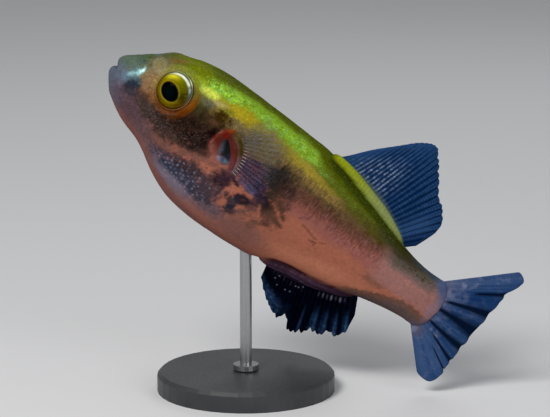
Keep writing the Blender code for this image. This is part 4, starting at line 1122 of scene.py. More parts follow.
def make_gill_flap(side, name, finish):
    """The dark red lens that closes the gill, swept along its line and pinched at both ends."""
    work, round_it, along = wrapped(20, 40)
    line = [on_skin(p, q, side) for p, q in FLAP_LINE]
    stations = np.linspace(0, 1, len(line))

    def line_point(share):
        return np.stack([curve(list(zip(stations, [place[i] for place, _ in line])), share)
                         for i in range(3)], axis=-1)

    out = np.array(sum((normal for _, normal in line), Vector()).normalized())
    way = line_point(np.clip(along + 0.02, 0, 1)) - line_point(np.clip(along - 0.02, 0, 1))
    way /= np.linalg.norm(way, axis=-1, keepdims=True)
    sideways = np.cross(way, out)
    sideways /= np.linalg.norm(sideways, axis=-1, keepdims=True)
    grown = np.sqrt(np.clip(np.sin(math.pi * along), 0, 1)) * (0.75 + 0.25 * ramp(along, 0, 0.5))
    turn = round_it * FULL_TURN
    across, lift = np.cos(turn), np.sin(turn)
    places = (line_point(along) + sideways * (across * FLAP_HALF_WIDTH * grown)[:, None]
              + out * (lift * FLAP_HALF_THICKNESS * grown + FLAP_LIFT)[:, None])
    move_corners(work, places)
    grain = cloud(places, 0.5, 61)
    store(work, "paint", blend_colours(
        (76, 24, 18), ((104, 42, 32), ramp(grain, 0.1, 0.9) * 0.5),
        ((62, 10, 8), ramp(along, 0.3, 0.0) * 0.8), ((98, 48, 54), ramp(along, 0.55, 0.95) * 0.8),
        ((120, 92, 84), ramp(np.abs(across), 0.86, 1.0) * 0.3)))
    finish_piece(work, "gill_flap_" + name + "_detail", finish,
                 ("gill_flap_" + name,), merge=0.0005)


# ---- Fins ----

def ray_profile(cell, outward, forks, width):
    """Height of a forking ray, 0 to 1; cell runs from -0.5 to 0.5 across its strip of fin."""
    middles = [np.zeros(np.shape(cell))]
    for start, spread in forks:
        apart = spread * ramp(outward, start, min(start + 0.45, 1.0))
        middles = [middle + way * apart for middle in middles for way in (-1, 1)]
    width = width * (1 - 0.45 * len(forks) * ramp(outward, 0.3, 1.0) * 0.6)
    return np.max([hump(cell, middle, width) for middle in middles], axis=0)


def make_fin(name, finish, replaced, root_at, tip_at, wave, trim, colour_at, rays, per_ray, rows,
             forks, ray, width, web=0.045, sheer_at=None):
    """A fin as one closed sheet: thin web, and rays that taper and fork towards the edge.
    forks says where the rays part, as a share of their length, and how far they spread."""
    columns = rays * per_ray
    work, across, outward = wrapped(2 * columns, rows)
    share = np.where(across <= 0.5, 2 * across, 2 - 2 * across)
    face = np.where(across <= 0.5, 1.0, -1.0)
    cell = share * rays
    number = np.minimum(np.floor(cell), rays - 1)
    cell = cell - number - 0.5
    profile = ray_profile(cell, outward, forks, width)
    root, tip = root_at(share), tip_at(share)
    length = np.linalg.norm(tip - root, axis=-1)
    reach = outward * trim(share, cell)
    places = root + (tip - root) * reach[:, None]
    ahead = tip_at(np.clip(share + 0.01, 0, 1)) - tip_at(np.clip(share - 0.01, 0, 1))
    ahead += root_at(np.clip(share + 0.01, 0, 1)) - root_at(np.clip(share - 0.01, 0, 1))
    normal = np.cross(ahead, tip - root)
    normal /= np.maximum(np.linalg.norm(normal, axis=-1, keepdims=True), 1e-9)
    edge = np.minimum(np.minimum(share, 1 - share) * 60, 1.0) ** 0.5
    rim = np.minimum((1 - outward) * 14, 1.0) ** 0.5 * np.minimum(outward * 40, 1.0) ** 0.5
    joints = 1 + 0.10 * np.cos(outward * length * FULL_TURN / 0.42)
    half = (web + ray * profile * joints * (1 - 0.72 * outward)) * edge * rim
    places = places + normal * (face * half + wave(share, outward))[:, None]
    move_corners(work, places)
    run = outward * length
    store(work, "paint", colour_at(share, outward, cell, number, profile, run, places))
    if sheer_at:
        sheer = sheer_at(share, outward, profile, places)
        store(work, "sheer", np.stack((sheer, sheer, sheer), axis=-1))
    finish_piece(work, name, finish, replaced, merge=0.0008)


def in_middle(along, up):
    """Places in the plane that parts the fish's left from its right."""
    return np.stack((along, np.zeros_like(along), up), axis=-1)


def make_dorsal_fin(finish):
    def root_at(share):
        along = DORSAL_ROOT[0] + share * (DORSAL_ROOT[1] - DORSAL_ROOT[0])
        return in_middle(along, curve(DORSAL_BASE_TOP, along) - DORSAL_ROOT_DEPTH)

    def tip_at(share):
        return in_middle(*line_at(DORSAL_TIPS, share))

    def wave(share, outward):
        return outward * (0.30 * np.sin(share * 9) + 0.03 * np.sin(share * 27 * math.pi)
                          + 0.5 * ramp(share, 0.75, 1.0) * outward)

    def trim(share, cell):
        notch = curve([(0, 0.005), (0.3, 0.01), (0.5, 0.01), (0.6, 0.025), (0.85, 0.02),
                       (1, 0.01)], share)
        step = 0.014 * np.sin(share * 61) + 0.02 * np.sin(share * 23 + 1)
        step = np.maximum(step * ramp(share, 0.45, 0.6), 0)
        return 1 - notch * (2 * np.abs(cell)) ** 2 - step

    def colour_at(share, outward, cell, number, profile, run, places):
        grain = cloud(places, 0.5, 71)
        bead = ramp(np.cos(run * FULL_TURN / 0.55 + 2.4 * number) + 0.5 * grain, 0.2, 0.9)
        beaded = (ramp(share, 0.06, 0.16) * ramp(share, 0.62, 0.42) * ramp(outward, 0.72, 0.3)
                  * ramp(outward, 0.02, 0.1))
        front = ramp(share, 0.26, 0.08) + ramp(outward, 0.80, 1.0) * ramp(share, 0.6, 0.4)
        rear = hump(share, 0.87, 0.06) * ramp(outward, 1.0, 0.5)
        hatch = ramp(np.cos((run + 0.5 * np.abs(cell)) * FULL_TURN / 0.62), -0.3, 0.8)
        return blend_colours(
            (2, 28, 62), ((8, 44, 84), ramp(grain, -0.5, 1.0) * 0.6),
            ((40, 72, 112), profile * (0.8 + 0.3 * grain) * ramp(share, 0.66, 0.4)),
            ((20, 52, 90), profile * ramp(share, 0.4, 0.6) * 0.8),
            ((62, 86, 120), hatch * profile * ramp(share, 0.42, 0.6) * (0.35 + 0.3 * grain)),
            ((150, 160, 178), profile * (0.4 + 0.6 * bead) * beaded * (0.5 + 0.6 * grain)),
            ((32, 62, 104), front * 0.7), ((40, 68, 108), rear * 0.7),
            ((2, 20, 48), ramp(share, 0.90, 0.99) * 0.7),
            ((1, 14, 38), ramp(np.abs(cell), 0.34, 0.46) * ramp(share, 0.42, 0.6) * 0.8),
            ((104, 116, 88), ramp(outward, 0.12, 0.02) * 0.4))

    make_fin("dorsal_fin_rays", finish, ("dorsal_fin",), root_at, tip_at, wave, trim, colour_at,
             rays=27, per_ray=8, rows=78, forks=((0.5, 0.2),), ray=0.045, width=0.19)


# Pale dots on the anal fin: (along, up)
ANAL_DOTS = [(50.9, -14.8), (50.5, -15.8), (51.7, -17.0), (53.6, -16.8), (54.6, -16.5),
             (54.8, -14.6), (55.4, -14.4), (56.0, -13.7)]
# Bundles of its rays with painted highlights towards their tips: (share of the base, width)
ANAL_TIP_HIGHLIGHTS = [(0.55, 0.012), (0.66, 0.026), (0.75, 0.022), (0.84, 0.018), (0.92, 0.018)]


def make_anal_fin(finish):
    def root_at(share):
        along = ANAL_ROOT[0] + share * (ANAL_ROOT[1] - ANAL_ROOT[0])
        return in_middle(along, curve(ANAL_BASE_TOP, along) + ANAL_ROOT_DEPTH)

    def tip_at(share):
        lean = np.radians(curve(ANAL_LEAN, share))
        length = curve(ANAL_RAY_LENGTH, share)
        down = length * np.cos(lean)
        ray = np.stack((length * np.sin(lean), down * math.sin(ANAL_SWEEP),
                        -down * math.cos(ANAL_SWEEP)), axis=-1)
        return root_at(share) + (0, 0, -ANAL_TIP_DROP) + ray

    def wave(share, outward):
        return outward * (0.35 * np.sin(share * 11 + 1) + 0.10 * np.sin(share * 23 * math.pi))

    def trim(share, cell):
        notch = curve([(0, 0.02), (0.25, 0.02), (0.4, 0.05), (0.7, 0.05), (1, 0.03)], share)
        ragged = (0.17 * hump(share, 0.405, 0.035) + 0.08 * hump(share, 0.66, 0.03)
                  + 0.11 * hump(share, 0.80, 0.03) + 0.03 * np.sin(share * 47) ** 2)
        return 1 - notch * (2 * np.abs(cell)) ** 1.5 - ragged

    def colour_at(share, outward, cell, number, profile, run, places):
        grain = cloud(places, 0.7, 81)
        teeth = (ramp(outward, 0.24, 0.16) * ramp(outward, 0.08, 0.13)
                 * (0.6 + 0.4 * np.cos(number * 2.6)))
        # Painted light: the front part of the fin is painted lighter blue where it is lit, and the
        # listed ray bundles carry painted highlights towards their tips.
        lobe = hump(share, 0.17, 0.15) * ramp(outward, 0.55, 0.85)
        tips = ramp(outward, 0.35, 0.8) * sum(hump(share, at, width) for at, width in ANAL_TIP_HIGHLIGHTS)
        dots = sum(hump(np.hypot(places[..., 0] - x, places[..., 2] - z), 0, 0.13)
                   for x, z in ANAL_DOTS)
        return blend_colours(
            (1, 2, 10), ((3, 7, 30), ramp(grain, -0.2, 0.9) * 0.6),
            ((8, 18, 50), profile * 0.25),
            ((64, 50, 68), teeth * profile * ramp(share, 0.6, 0.3) * 0.7),
            ((130, 130, 152), teeth * profile * ramp(share, 0.58, 0.72)
             * ramp(share, 0.92, 0.84) * 0.85),
            ((44, 76, 120), lobe * (0.75 + 0.4 * grain)),
            ((84, 104, 142), lobe * ramp(grain, 0.1, 0.9) * 0.6),
            ((50, 88, 136), tips * (0.35 + 0.65 * profile) * (0.8 + 0.4 * grain)),
            ((120, 146, 176), tips * profile * ramp(outward, 0.7, 0.95)
             * ramp(grain, 0.0, 0.8) * 0.5),
            ((160, 166, 190), dots * 0.75))

    make_fin("anal_fin_rays", finish, ("anal_fin",), root_at, tip_at, wave, trim, colour_at,
             rays=23, per_ray=8, rows=76, forks=((0.5, 0.2),), ray=0.05, width=0.2)


# Dark clefts between the bundles of tail rays: (share at root and tip, start outward, width)
CAUDAL_CLEFTS = [(0.20, 0.205, 0.45, 0.020), (0.345, 0.378, 0.10, 0.034),
                 (0.480, 0.508, 0.06, 0.046), (0.71, 0.650, 0.06, 0.036),
                 (0.78, 0.770, 0.30, 0.014), (0.84, 0.850, 0.45, 0.009)]


def make_caudal_fin(finish):
    def root_at(share):
        across = 1 - 2 * share
        bulge = CAUDAL_ROOT_BULGE * np.sqrt(np.clip(1 - across ** 2, 0, 1))
        return in_middle(CAUDAL_ROOT_MIDDLE[0] + bulge,
                         CAUDAL_ROOT_MIDDLE[1] + across * CAUDAL_ROOT_HALF_HEIGHT)

    def tip_at(share):
        return in_middle(*line_at(CAUDAL_TIPS, share))

    def cleft(share, outward):
        depth = np.zeros(np.shape(share))
        for at_root, at_tip, start, width in CAUDAL_CLEFTS:
            middle = at_root + (at_tip - at_root) * outward
            open_by = width * (0.45 + 0.75 * outward)
            depth = np.maximum(depth, hump(share, middle, open_by)
                               * ramp(outward, start, start + 0.2))
        return depth

    def wave(share, outward):
        return outward * (0.35 * np.sin(share * 7 + 0.5) + 0.05 * np.sin(share * 11 * math.pi))

    def trim(share, cell):
        """Rounds the tips of both lobes and nicks the edge at the clefts."""
        upper = 1 - np.sqrt(1 - np.clip(1 - share / 0.07, 0, 1) ** 2)
        lower = 1 - np.sqrt(1 - np.clip((share - 0.86) / 0.14, 0, 1) ** 2)
        return (1 - 0.06 * upper - 0.155 * lower - 0.010 * (2 * np.abs(cell)) ** 2
                - 0.03 * cleft(share, np.ones(np.shape(share))))

    def colour_at(share, outward, cell, number, profile, run, places):
        grain = cloud(places, 0.6, 91)
        patchy = cloud(places, 1.6, 92)
        dark = cleft(share, outward)
        joints = ramp(np.cos(run * FULL_TURN / 0.6 + number), 0.3, 0.9)
        return blend_colours(
            (28, 54, 94), ((44, 70, 108), profile * 0.6),
            ((72, 90, 124), profile * joints * 0.3 + ramp(grain, 0.0, 0.8) * 0.35),
            ((10, 42, 86), hump(share, 0.26, 0.07) * ramp(outward, 0.3, 0.6) * 0.85),
            ((54, 76, 114), (ramp(share, 0.14, 0.04) + ramp(share, 0.74, 0.84)) * 0.75),
            ((28, 50, 86), ramp(np.sin(share * 95) + grain, 0.3, 1.0)
             * (ramp(share, 0.74, 0.84) + ramp(share, 0.18, 0.08)) * 0.5),
            ((92, 98, 124), ramp(outward, 0.5, 0.1) * ramp(share, 0.85, 0.6)
             * (0.5 + 0.35 * grain)),
            ((126, 106, 112), ramp(outward, 0.22, 0.05) * hump(share, 0.45, 0.3) * 0.8),
            ((84, 76, 88), ramp(outward, 0.35, 0.1) * ramp(share, 0.75, 0.95)),
            ((102, 108, 136), ramp(patchy + 0.35 * joints * profile + 0.5 * grain, 0.1, 1.0)
             * (0.1 + 0.45 * (ramp(share, 0.6, 0.75) + ramp(share, 0.2, 0.08)
                              + ramp(outward, 0.6, 0.2)))),
            ((20, 52, 94), ramp(outward, 0.7, 1.0) * 0.35), ((1, 14, 36), dark * 1.15))

    make_fin("caudal_fin_rays", finish, ("caudal_fin",), root_at, tip_at, wave, trim, colour_at,
             rays=11, per_ray=22, rows=74, forks=((0.12, 0.22), (0.5, 0.10)), ray=0.05,
             width=0.13)


def make_pectoral_fin(side, name, finish):
    stations = np.linspace(0, 1, 17)
    flank = [skin_at(*place) + PECTORAL_GAP for place in zip(*line_at(PECTORAL_ROOT, stations))]

    def root_at(share):
        along, up = line_at(PECTORAL_ROOT, share)
        return np.stack((along, side * np.interp(share, stations, flank), up), axis=-1)

    def tip_at(share):
        root = root_at(share)
        along, up = line_at(PECTORAL_TIPS, share)
        dx, dz = along - root[..., 0], up - root[..., 2]
        dy = side * np.hypot(dx, dz) * math.sin(PECTORAL_SPREAD)
        c, s = math.cos(PECTORAL_TURN[side]), math.sin(PECTORAL_TURN[side])
        return root + np.stack((dx * c + dz * s, dy, dz * c - dx * s), axis=-1)

    def wave(share, outward):
        return side * outward * (0.12 * np.sin(share * 8) + 0.25 * outward)

    def trim(share, cell):
        return 1 - 0.03 * (2 * np.abs(cell)) ** 2

    def colour_at(share, outward, cell, number, profile, run, places):
        grain = cloud(places, 0.5, 95)
        return blend_colours(
            (90, 84, 66), ((52, 46, 78), ramp(share, 0.45, 0.7)),
            # The lighter olive along the upper edge is painted light, where that edge catches the
            # light.
            ((122, 120, 132), profile * 0.8), ((116, 112, 76), ramp(share, 0.35, 0.0) * 0.6),
            ((180, 170, 148), profile * ramp(outward, 0.20, 0.05) * ramp(share, 0.3, 0.55)),
            ((56, 46, 30), (1 - profile) * ramp(outward, 0.12, 0.04) * 0.7),
            ((64, 60, 72), ramp(grain, 0.2, 1.0) * 0.3))

    def sheer_at(share, outward, profile, places):
        """How much each place of the fin covers what lies behind it."""
        grain = cloud(places, 0.7, 96)
        film = 0.08 + 0.13 * ramp(share, 0.5, 0.2) + 0.06 * grain
        foot = ramp(outward, 0.18, 0.08) * ramp(share, 0.4, 0.6)
        film = film + 0.5 * foot * profile + 0.07 * profile ** 2 * ramp(outward, 0.8, 0.2)
        return np.clip(film * ramp(outward, 1.0, 0.7) * ramp(share, 0.0, 0.08) + 0.02, 0, 1)

    make_fin("pectoral_fin_rays_" + name, finish, ("pectoral_fin_" + name,), root_at, tip_at,
             wave, trim, colour_at, rays=17, per_ray=8, rows=60, forks=((0.45, 0.2),), ray=0.045,
             width=0.13, web=0.02, sheer_at=sheer_at)


# ---- Coats ----

SPINE_PATCH = 0.0015             # half size of a spine's own patch of the map
SPINE_BATCH = 200                # spines made at a time, which keeps the making quick


def scatter(skin, chance, count, seed):
    """Seeded places on the skin's grid (row, column), more of them where chance is higher."""
    rng = np.random.default_rng(seed)
    across = np.linalg.norm(np.diff(skin, axis=1), axis=-1)[:-1]
    along = np.linalg.norm(np.diff(skin, axis=0), axis=-1)[:, :-1]
    weight = (chance[:-1, :-1] * across * along).ravel()
    cells = rng.choice(weight.size, size=count, replace=False, p=weight / weight.sum())
    rows, columns = np.divmod(cells, skin.shape[1] - 1)
    return rows + rng.random(count), columns + rng.random(count)


def on_grid(grid, row, column):
    """Values between the corners of the skin's grid."""
    r, c = np.floor(row).astype(int), np.floor(column).astype(int)
    fr, fc = (row - r)[:, None], (column - c)[:, None]
    return ((grid[r, c] * (1 - fr) + grid[r + 1, c] * fr) * (1 - fc)
            + (grid[r, c + 1] * (1 - fr) + grid[r + 1, c + 1] * fr) * fc)


def stand_on(skin, row, column):
    """Places on the skin's grid, and the unit directions along it and out of it there."""
    place = on_grid(skin, row, column)
    back = on_grid(skin, np.minimum(row + 1.0, skin.shape[0] - 1.01), column) - place
    down = on_grid(skin, row, np.minimum(column + 1.0, skin.shape[1] - 1.01)) - place
    out = np.cross(down, back)
    out *= np.sign(out[:, 1] * place[:, 1] + 1e-6 * out[:, 2] * place[:, 2])[:, None]
    flip = (np.abs(place[:, 1]) < 2.5) & (out[:, 2] * (place[:, 2] + 1) < 0)
    out[flip] *= -1
    out /= np.linalg.norm(out, axis=-1, keepdims=True)
    back /= np.maximum(np.linalg.norm(back, axis=-1, keepdims=True), 1e-9)
    return place, back, out


def add_spine(work, place, ahead, out, size, stretch, sides, colour, spot):
    """One low spine, in one colour, on its own patch of the skin's map round a spot (u, v)."""
    across = out.cross(ahead)
    upright = Matrix((ahead * size[0] * stretch, across * size[1] * stretch,
                      out * size[2])).transposed().to_4x4()
    upright.translation = place + out * size[2] * 0.1
    made = bmesh.ops.create_cone(work, cap_ends=True, segments=sides, radius1=1.0,
                                 radius2=0.45, depth=1.0, matrix=upright)
    paint_layer = work.verts.layers.float_color["paint"]
    map_layer = work.loops.layers.uv["OFBake"]
    for corner in made["verts"]:
        corner[paint_layer] = (*colour, 1.0)
        away = corner.co - upright.translation
        here = (spot[0] + SPINE_PATCH * away.dot(across) / size[1],
                spot[1] + SPINE_PATCH * away.dot(ahead) / size[0])
        for loop in corner.link_loops:
            loop[map_layer].uv = here


def coat_mesh():
    work = bmesh.new()
    work.verts.layers.float_color.new("paint")
    work.loops.layers.uv.new("OFBake")
    return work


def make_coat(name, finish, skin, spots, shade_at, size, seed, sides=6, lean=0.0):
    """Many small low spines joined as one piece; each carries its own patch of the skin's map.
    Their size is along, across and out, and they lean by about so many degrees."""
    rng = np.random.default_rng(seed)
    row = np.clip(spots[0], 0, skin.shape[0] - 1.01)
    column = np.clip(spots[1], 0, skin.shape[1] - 1.01)
    place, back, out = stand_on(skin, row, column)
    turn = np.radians(rng.normal(lean, 14, len(row)))
    colours = shade_at(place, rng)
    whole = coat_mesh()
    for first in range(0, len(row), SPINE_BATCH):
        work = coat_mesh()
        for i in range(first, min(first + SPINE_BATCH, len(row))):
            normal = Vector(out[i])
            ahead = Matrix.Rotation(turn[i], 3, normal) @ Vector(back[i])
            ahead = (ahead - normal * ahead.dot(normal)).normalized()
            add_spine(work, Vector(place[i]), ahead, normal, size, 0.7 + 0.6 * rng.random(),
                      sides, colours[i],
                      (column[i] / (skin.shape[1] - 1), row[i] / (skin.shape[0] - 1)))
        part = bpy.data.meshes.new("part")
        work.to_mesh(part)
        work.free()
        whole.from_mesh(part)
        bpy.data.meshes.remove(part)
    finish_piece(whole, name, finish, merge=0.0)


def dot_spots(skin, p, q):
    """Places on the skin's grid of the pale dots low on both cheeks."""
    rows, columns = [], []
    half = skin.shape[1] // 2
    rng = np.random.default_rng(105)
    for line, number in itertools.product(range(-10, -1), range(9, 20)):
        at_p = (number + 0.5 * (line % 2)) * DOT_GAPS[0] + rng.normal(0, 0.2)
        at_q = line * DOT_GAPS[1] - DOT_LEAN * at_p + rng.normal(0, 0.16)
        if math.hypot((at_p - 24.2) / 8.0, (at_q + 9.8 + 0.10 * (at_p - 24.2)) / 2.6) > 1:
            continue
        away = np.hypot(p - at_p, q - at_q)[:, :half + 1]
        row, column = np.unravel_index(np.argmin(away), away.shape)
        rows += [row, row]
        columns += [column, skin.shape[1] - 1 - column]
    return np.array(rows, dtype=float), np.array(columns, dtype=float)


def nearer(shade, least, extra, power=1):
    """Colours that lie from the skin's own paint towards a shade, by least to least + extra."""
    def shade_at(places, rng):
        base = paint(places)[0]
        share = least + extra * rng.random((len(places), 1)) ** power
        return base + (rgb(*shade) - base) * share
    return shade_at


# Painted glints: spinules on the back are lifted from the skin's paint towards yellow-green tints,
# less towards the tail.
def painted_glint_colours(places, rng):
    base = paint(places)[0]
    lift = rng.random(len(places))[:, None]
    tint = np.where(rng.random((len(places), 1)) < 0.3, rgb(124, 200, 84), rgb(170, 206, 56))
    fade = curve([(40, 1), (50, 0.4)], side_coordinates(places)[0])[:, None]
    return base + (tint - base) * (0.05 + 0.45 * lift ** 3) * fade


def like_the_skin(places, rng):
    return paint(places)[0] * (0.85 + 0.4 * rng.random((len(places), 1)))


def make_coats(skin, finish):
    p, q = side_coordinates(skin)
    m = Markings(skin, (0, 0, 0))
    eye_back, eye_up, _ = eye_frame(skin)
    clear = np.hypot(eye_back / RIM_RADII[0], eye_up / RIM_RADII[1]) > 1.25
    band = hump(q, curve([(14, 8.2), (18, 9.0), (28, 9.6), (43, 8.8), (58, 6.0)], p), 1.8)
    shine = (0.12 + band) * m.between(9, 64, 3) * m.over([(8, 6), (30, 7), (66, 4)], 1.0) * clear
    all_over = (0.4 + 0.6 * m.between(24, 70, 3)) * clear * m.between(4, 76, 2)
    # The back's spinules carry painted glints.
    make_coat("back_spinules", finish, skin, scatter(skin, shine, count=5200, seed=101),
              painted_glint_colours, size=(0.11, 0.075, 0.07), seed=102)
    make_coat("cheek_dashes", finish, skin,
              scatter(skin, m.ovals(DASHED) * clear, count=170, seed=103),
              nearer((130, 112, 110), 0.05, 0.35, 2), size=(0.42, 0.09, 0.07), seed=104,
              sides=8, lean=24)
    make_coat("belly_dots", finish, skin, dot_spots(skin, p, q),
              nearer((140, 134, 148), 0.05, 0.4), size=(0.27, 0.22, 0.07), seed=106, sides=8)
    make_coat("body_spinules", finish, skin, scatter(skin, all_over, count=7000, seed=107),
              like_the_skin, size=(0.09, 0.06, 0.05), seed=108, sides=5)


# ======== Finishes ========

class Finish:
    """A material on one shader, with short ways to add the nodes that feed it."""

    def __init__(self, name, **sockets):
        self.material = bpy.data.materials.new(name)
        self.material.use_nodes = True
        self.tree = self.material.node_tree
        self.shader = self.tree.nodes["Principled BSDF"]
        for socket, value in sockets.items():
            self.shader.inputs[socket.replace("_", " ")].default_value = value

    def node(self, kind, inputs=(), **settings):
        made = self.tree.nodes.new("ShaderNode" + kind)
        for setting, value in settings.items():
            setattr(made, setting, value)
        for socket, value in dict(inputs).items():
            if isinstance(value, bpy.types.NodeSocket):
                self.tree.links.new(value, made.inputs[socket])
            else:
                made.inputs[socket].default_value = value
        return made

    def stored(self, name):
        return self.node("Attribute", attribute_name=name).outputs["Color"]

    def fish_space(self):
        """Object coordinates turned into the fish's frame, in millimetres."""
        away = Matrix.Rotation(-NOSE_UP, 3, "Y") @ MOUTH_PLACE
        place = self.node("TexCoord").outputs["Object"]
        return self.node("Mapping", {"Vector": place, "Scale": (1 / MM,) * 3,
                                     "Rotation": (0, -NOSE_UP, 0), "Location": -away},
                         vector_type="POINT").outputs["Vector"]

    def noise(self, place, scale, detail):
        return self.node("TexNoise", {"Vector": place, "Scale": scale,
                                      "Detail": detail}).outputs["Fac"]

    def math(self, operation, first, second, clamp=False):
        made = self.node("Math", {0: first, 1: second}, operation=operation, use_clamp=clamp)
        return made.outputs[0]

    def level(self, value, low, high, to_low=0.0, to_high=1.0):
        return self.node("MapRange", {"Value": value, "From Min": low, "From Max": high,
                                      "To Min": to_low, "To Max": to_high}).outputs["Result"]

    def mix(self, share, first, second, blend="MIX"):
        made = self.node("Mix", data_type="RGBA", blend_type=blend, clamp_factor=True)
        for socket, value in ((made.inputs[0], share), (made.inputs[6], first),
                              (made.inputs[7], second)):
            if isinstance(value, bpy.types.NodeSocket):
                self.tree.links.new(value, socket)
            else:
                socket.default_value = value
        return made.outputs[2]

    def grey(self, value):
        return self.node("CombineColor", {i: value for i in range(3)}).outputs[0]

    def feed(self, socket, value):
        self.tree.links.new(value, self.shader.inputs[socket])

    def bump(self, height, strength, depth):
        """A bump as deep as depth, in millimetres."""
        made = self.node("Bump", {"Height": height, "Strength": strength,
                                  "Distance": depth * MM})
        self.feed("Normal", made.outputs["Normal"])


def skin_finish():
    f = Finish("puffer_skin", Roughness=0.40, Coat_Weight=0.05, Coat_Roughness=0.12,
               Specular_IOR_Level=0.0)
    place = f.fish_space()
    glints_and_freckles = f.node("SeparateColor", {"Color": f.stored("glints_and_freckles")})
    painted_glint_share, freckle, shine = glints_and_freckles.outputs[0], glints_and_freckles.outputs[1], glints_and_freckles.outputs[2]
    mottle = f.noise(place, 1.3, 4.0)
    colour = f.mix(1.0, f.stored("paint"), f.grey(f.level(mottle, 0.3, 0.7, 0.92, 1.08)),
                   "MULTIPLY")
    grain = f.noise(place, 4.2, 2.0)
    share = f.level(freckle, 0.0, 1.0, 0.12, 0.6)
    colour = f.mix(share, colour, f.grey(f.level(grain, 0.30, 0.66, 0.40, 1.55)), "MULTIPLY")
    lines = f.node("SeparateColor", {"Color": f.stored("lines")})
    shift = f.node("TexNoise", {"Vector": place, "Scale": 0.9}).outputs["Color"]
    bent = f.node("VectorMath", {0: place, 1: shift}, operation="ADD").outputs["Vector"]
    web = f.node("TexVoronoi", {"Vector": bent, "Scale": 1.25},
                 feature="DISTANCE_TO_EDGE").outputs["Distance"]
    line = f.math("MULTIPLY", f.level(web, 0.15, 0.02), lines.outputs[0], True)
    line = f.math("MULTIPLY", line, f.level(grain, 0.4, 0.62, 0.0, 0.32))
    colour = f.mix(line, colour, (*rgb(98, 76, 72), 1))
    tall = f.node("Mapping", {"Vector": place, "Scale": (4.2, 1.0, 0.9)}).outputs["Vector"]
    wisp = f.level(f.noise(tall, 1.0, 3.0), 0.34, 0.66, 0.5, 1.5)
    colour = f.mix(f.math("MULTIPLY", lines.outputs[1], 0.75), colour, f.grey(wisp), "MULTIPLY")
    # Painted glints where the stored glint share is high: pale yellow-green sparks, dull dark
    # flecks and cool green cells.
    spark = f.noise(place, 3.6, 2.5)
    bright = f.math("MULTIPLY", f.level(spark, 0.52, 0.72), painted_glint_share, True)
    colour = f.mix(f.math("MULTIPLY", bright, 0.55), colour, (*rgb(174, 212, 56), 1))
    dull = f.math("MULTIPLY", f.level(spark, 0.48, 0.30), painted_glint_share, True)
    colour = f.mix(f.math("MULTIPLY", dull, 0.6), colour, (*rgb(66, 84, 6), 1))
    cells = f.node("TexVoronoi", {"Vector": place, "Scale": 3.2, "Randomness": 1.0})
    pick = f.node("SeparateColor", {"Color": cells.outputs["Color"]})
    cool = f.math("MULTIPLY", f.level(pick.outputs[1], 0.80, 1.0), painted_glint_share, True)
    colour = f.mix(f.math("MULTIPLY", cool, 0.4), colour, (*rgb(104, 196, 96), 1))
    f.feed("Base Color", colour)
    rough = f.math("ADD", f.level(mottle, 0.3, 0.7, -0.05, 0.07), 0.42)
    rough = f.math("SUBTRACT", rough, f.math("MULTIPLY", shine, 0.14))
    f.feed("Roughness", rough)
    fine = f.node("TexVoronoi", {"Vector": place, "Scale": 4.2, "Smoothness": 0.7},
                  feature="SMOOTH_F1").outputs["Distance"]
    wrinkle = f.noise(place, 2.2, 5.0)
    f.bump(f.math("ADD", f.math("MULTIPLY", fine, 0.55), wrinkle), 0.4, depth=0.05)
    return f.material


def painted_finish(name, scale, contrast, sheer=False, **sockets):
    """Stored paint with a fine mottle and a matching bump."""
    f = Finish(name, **sockets)
    place = f.fish_space()
    mottle = f.noise(place, scale, 4.0)
    tone = f.grey(f.level(mottle, 0.3, 0.7, 1 - contrast, 1 + contrast))
    f.feed("Base Color", f.mix(1.0, f.stored("paint"), tone, "MULTIPLY"))
    f.bump(mottle, 0.25, depth=0.04)
    if sheer:
        f.feed("Alpha", f.node("SeparateColor", {"Color": f.stored("sheer")}).outputs[0])
    return f.material


def base_finish():
    f = Finish("black_paint", Roughness=0.5, Coat_Weight=0.15, Coat_Roughness=0.3)
    place = f.node("TexCoord").outputs["Object"]
    grain = f.noise(place, 2600, 4.0)
    broad = f.noise(place, 160, 3.0)
    f.feed("Base Color", f.mix(f.level(broad, 0.35, 0.7), (0.017, 0.018, 0.020, 1),
                               (0.027, 0.028, 0.030, 1)))
    f.feed("Roughness", f.level(grain, 0.3, 0.7, 0.44, 0.58))
    f.bump(grain, 0.25, depth=0.05)
    return f.material


def rod_finish():
    f = Finish("brushed_steel", Metallic=1.0, Roughness=0.3)
    place = f.node("TexCoord").outputs["Object"]
    streak = f.node("Mapping", {"Vector": place, "Scale": (9000, 9000, 240)}).outputs["Vector"]
    brush = f.noise(streak, 1.0, 3.0)
    f.feed("Base Color", f.mix(brush, (0.30, 0.31, 0.32, 1), (0.46, 0.47, 0.48, 1)))
    f.feed("Roughness", f.level(brush, 0.3, 0.7, 0.24, 0.38))
    f.bump(brush, 0.15, depth=0.02)
    return f.material


def floor_finish():
    f = Finish("pale_floor", Roughness=0.85, Specular_IOR_Level=0.2)
    f.shader.inputs["Base Color"].default_value = (0.62, 0.62, 0.63, 1)
    return f.material


# ======== Stage ========

# Metres and watts: name, place, size, power, tint
LAMPS = [
    ("key", (-0.20, -0.36, 0.46), 0.26, 2.9, (1.0, 0.985, 0.96)),
    ("fill", (0.42, -0.40, 0.22), 0.35, 0.8, (0.93, 0.96, 1.0)),
    ("back", (0.10, 0.42, 0.40), 0.30, 0.35, (0.96, 0.98, 1.0)),
]
LAMPS_AIM = Vector((0.006, 0.0, 0.038))
ROOM_TINT = (0.78, 0.80, 0.82, 1)
ROOM_LIGHT = 0.43
FLOOR_HALF_SIZE = 2.5
CAMERA_AIM = Vector((0.0059, 0.0, 0.0375))
CAMERA_TURN = math.radians(4.5)
CAMERA_RISE = math.radians(11.5)
CAMERA_DISTANCE = 0.5
VIEW_WIDTH = 0.110               # at the fish
SENSOR_WIDTH = 36


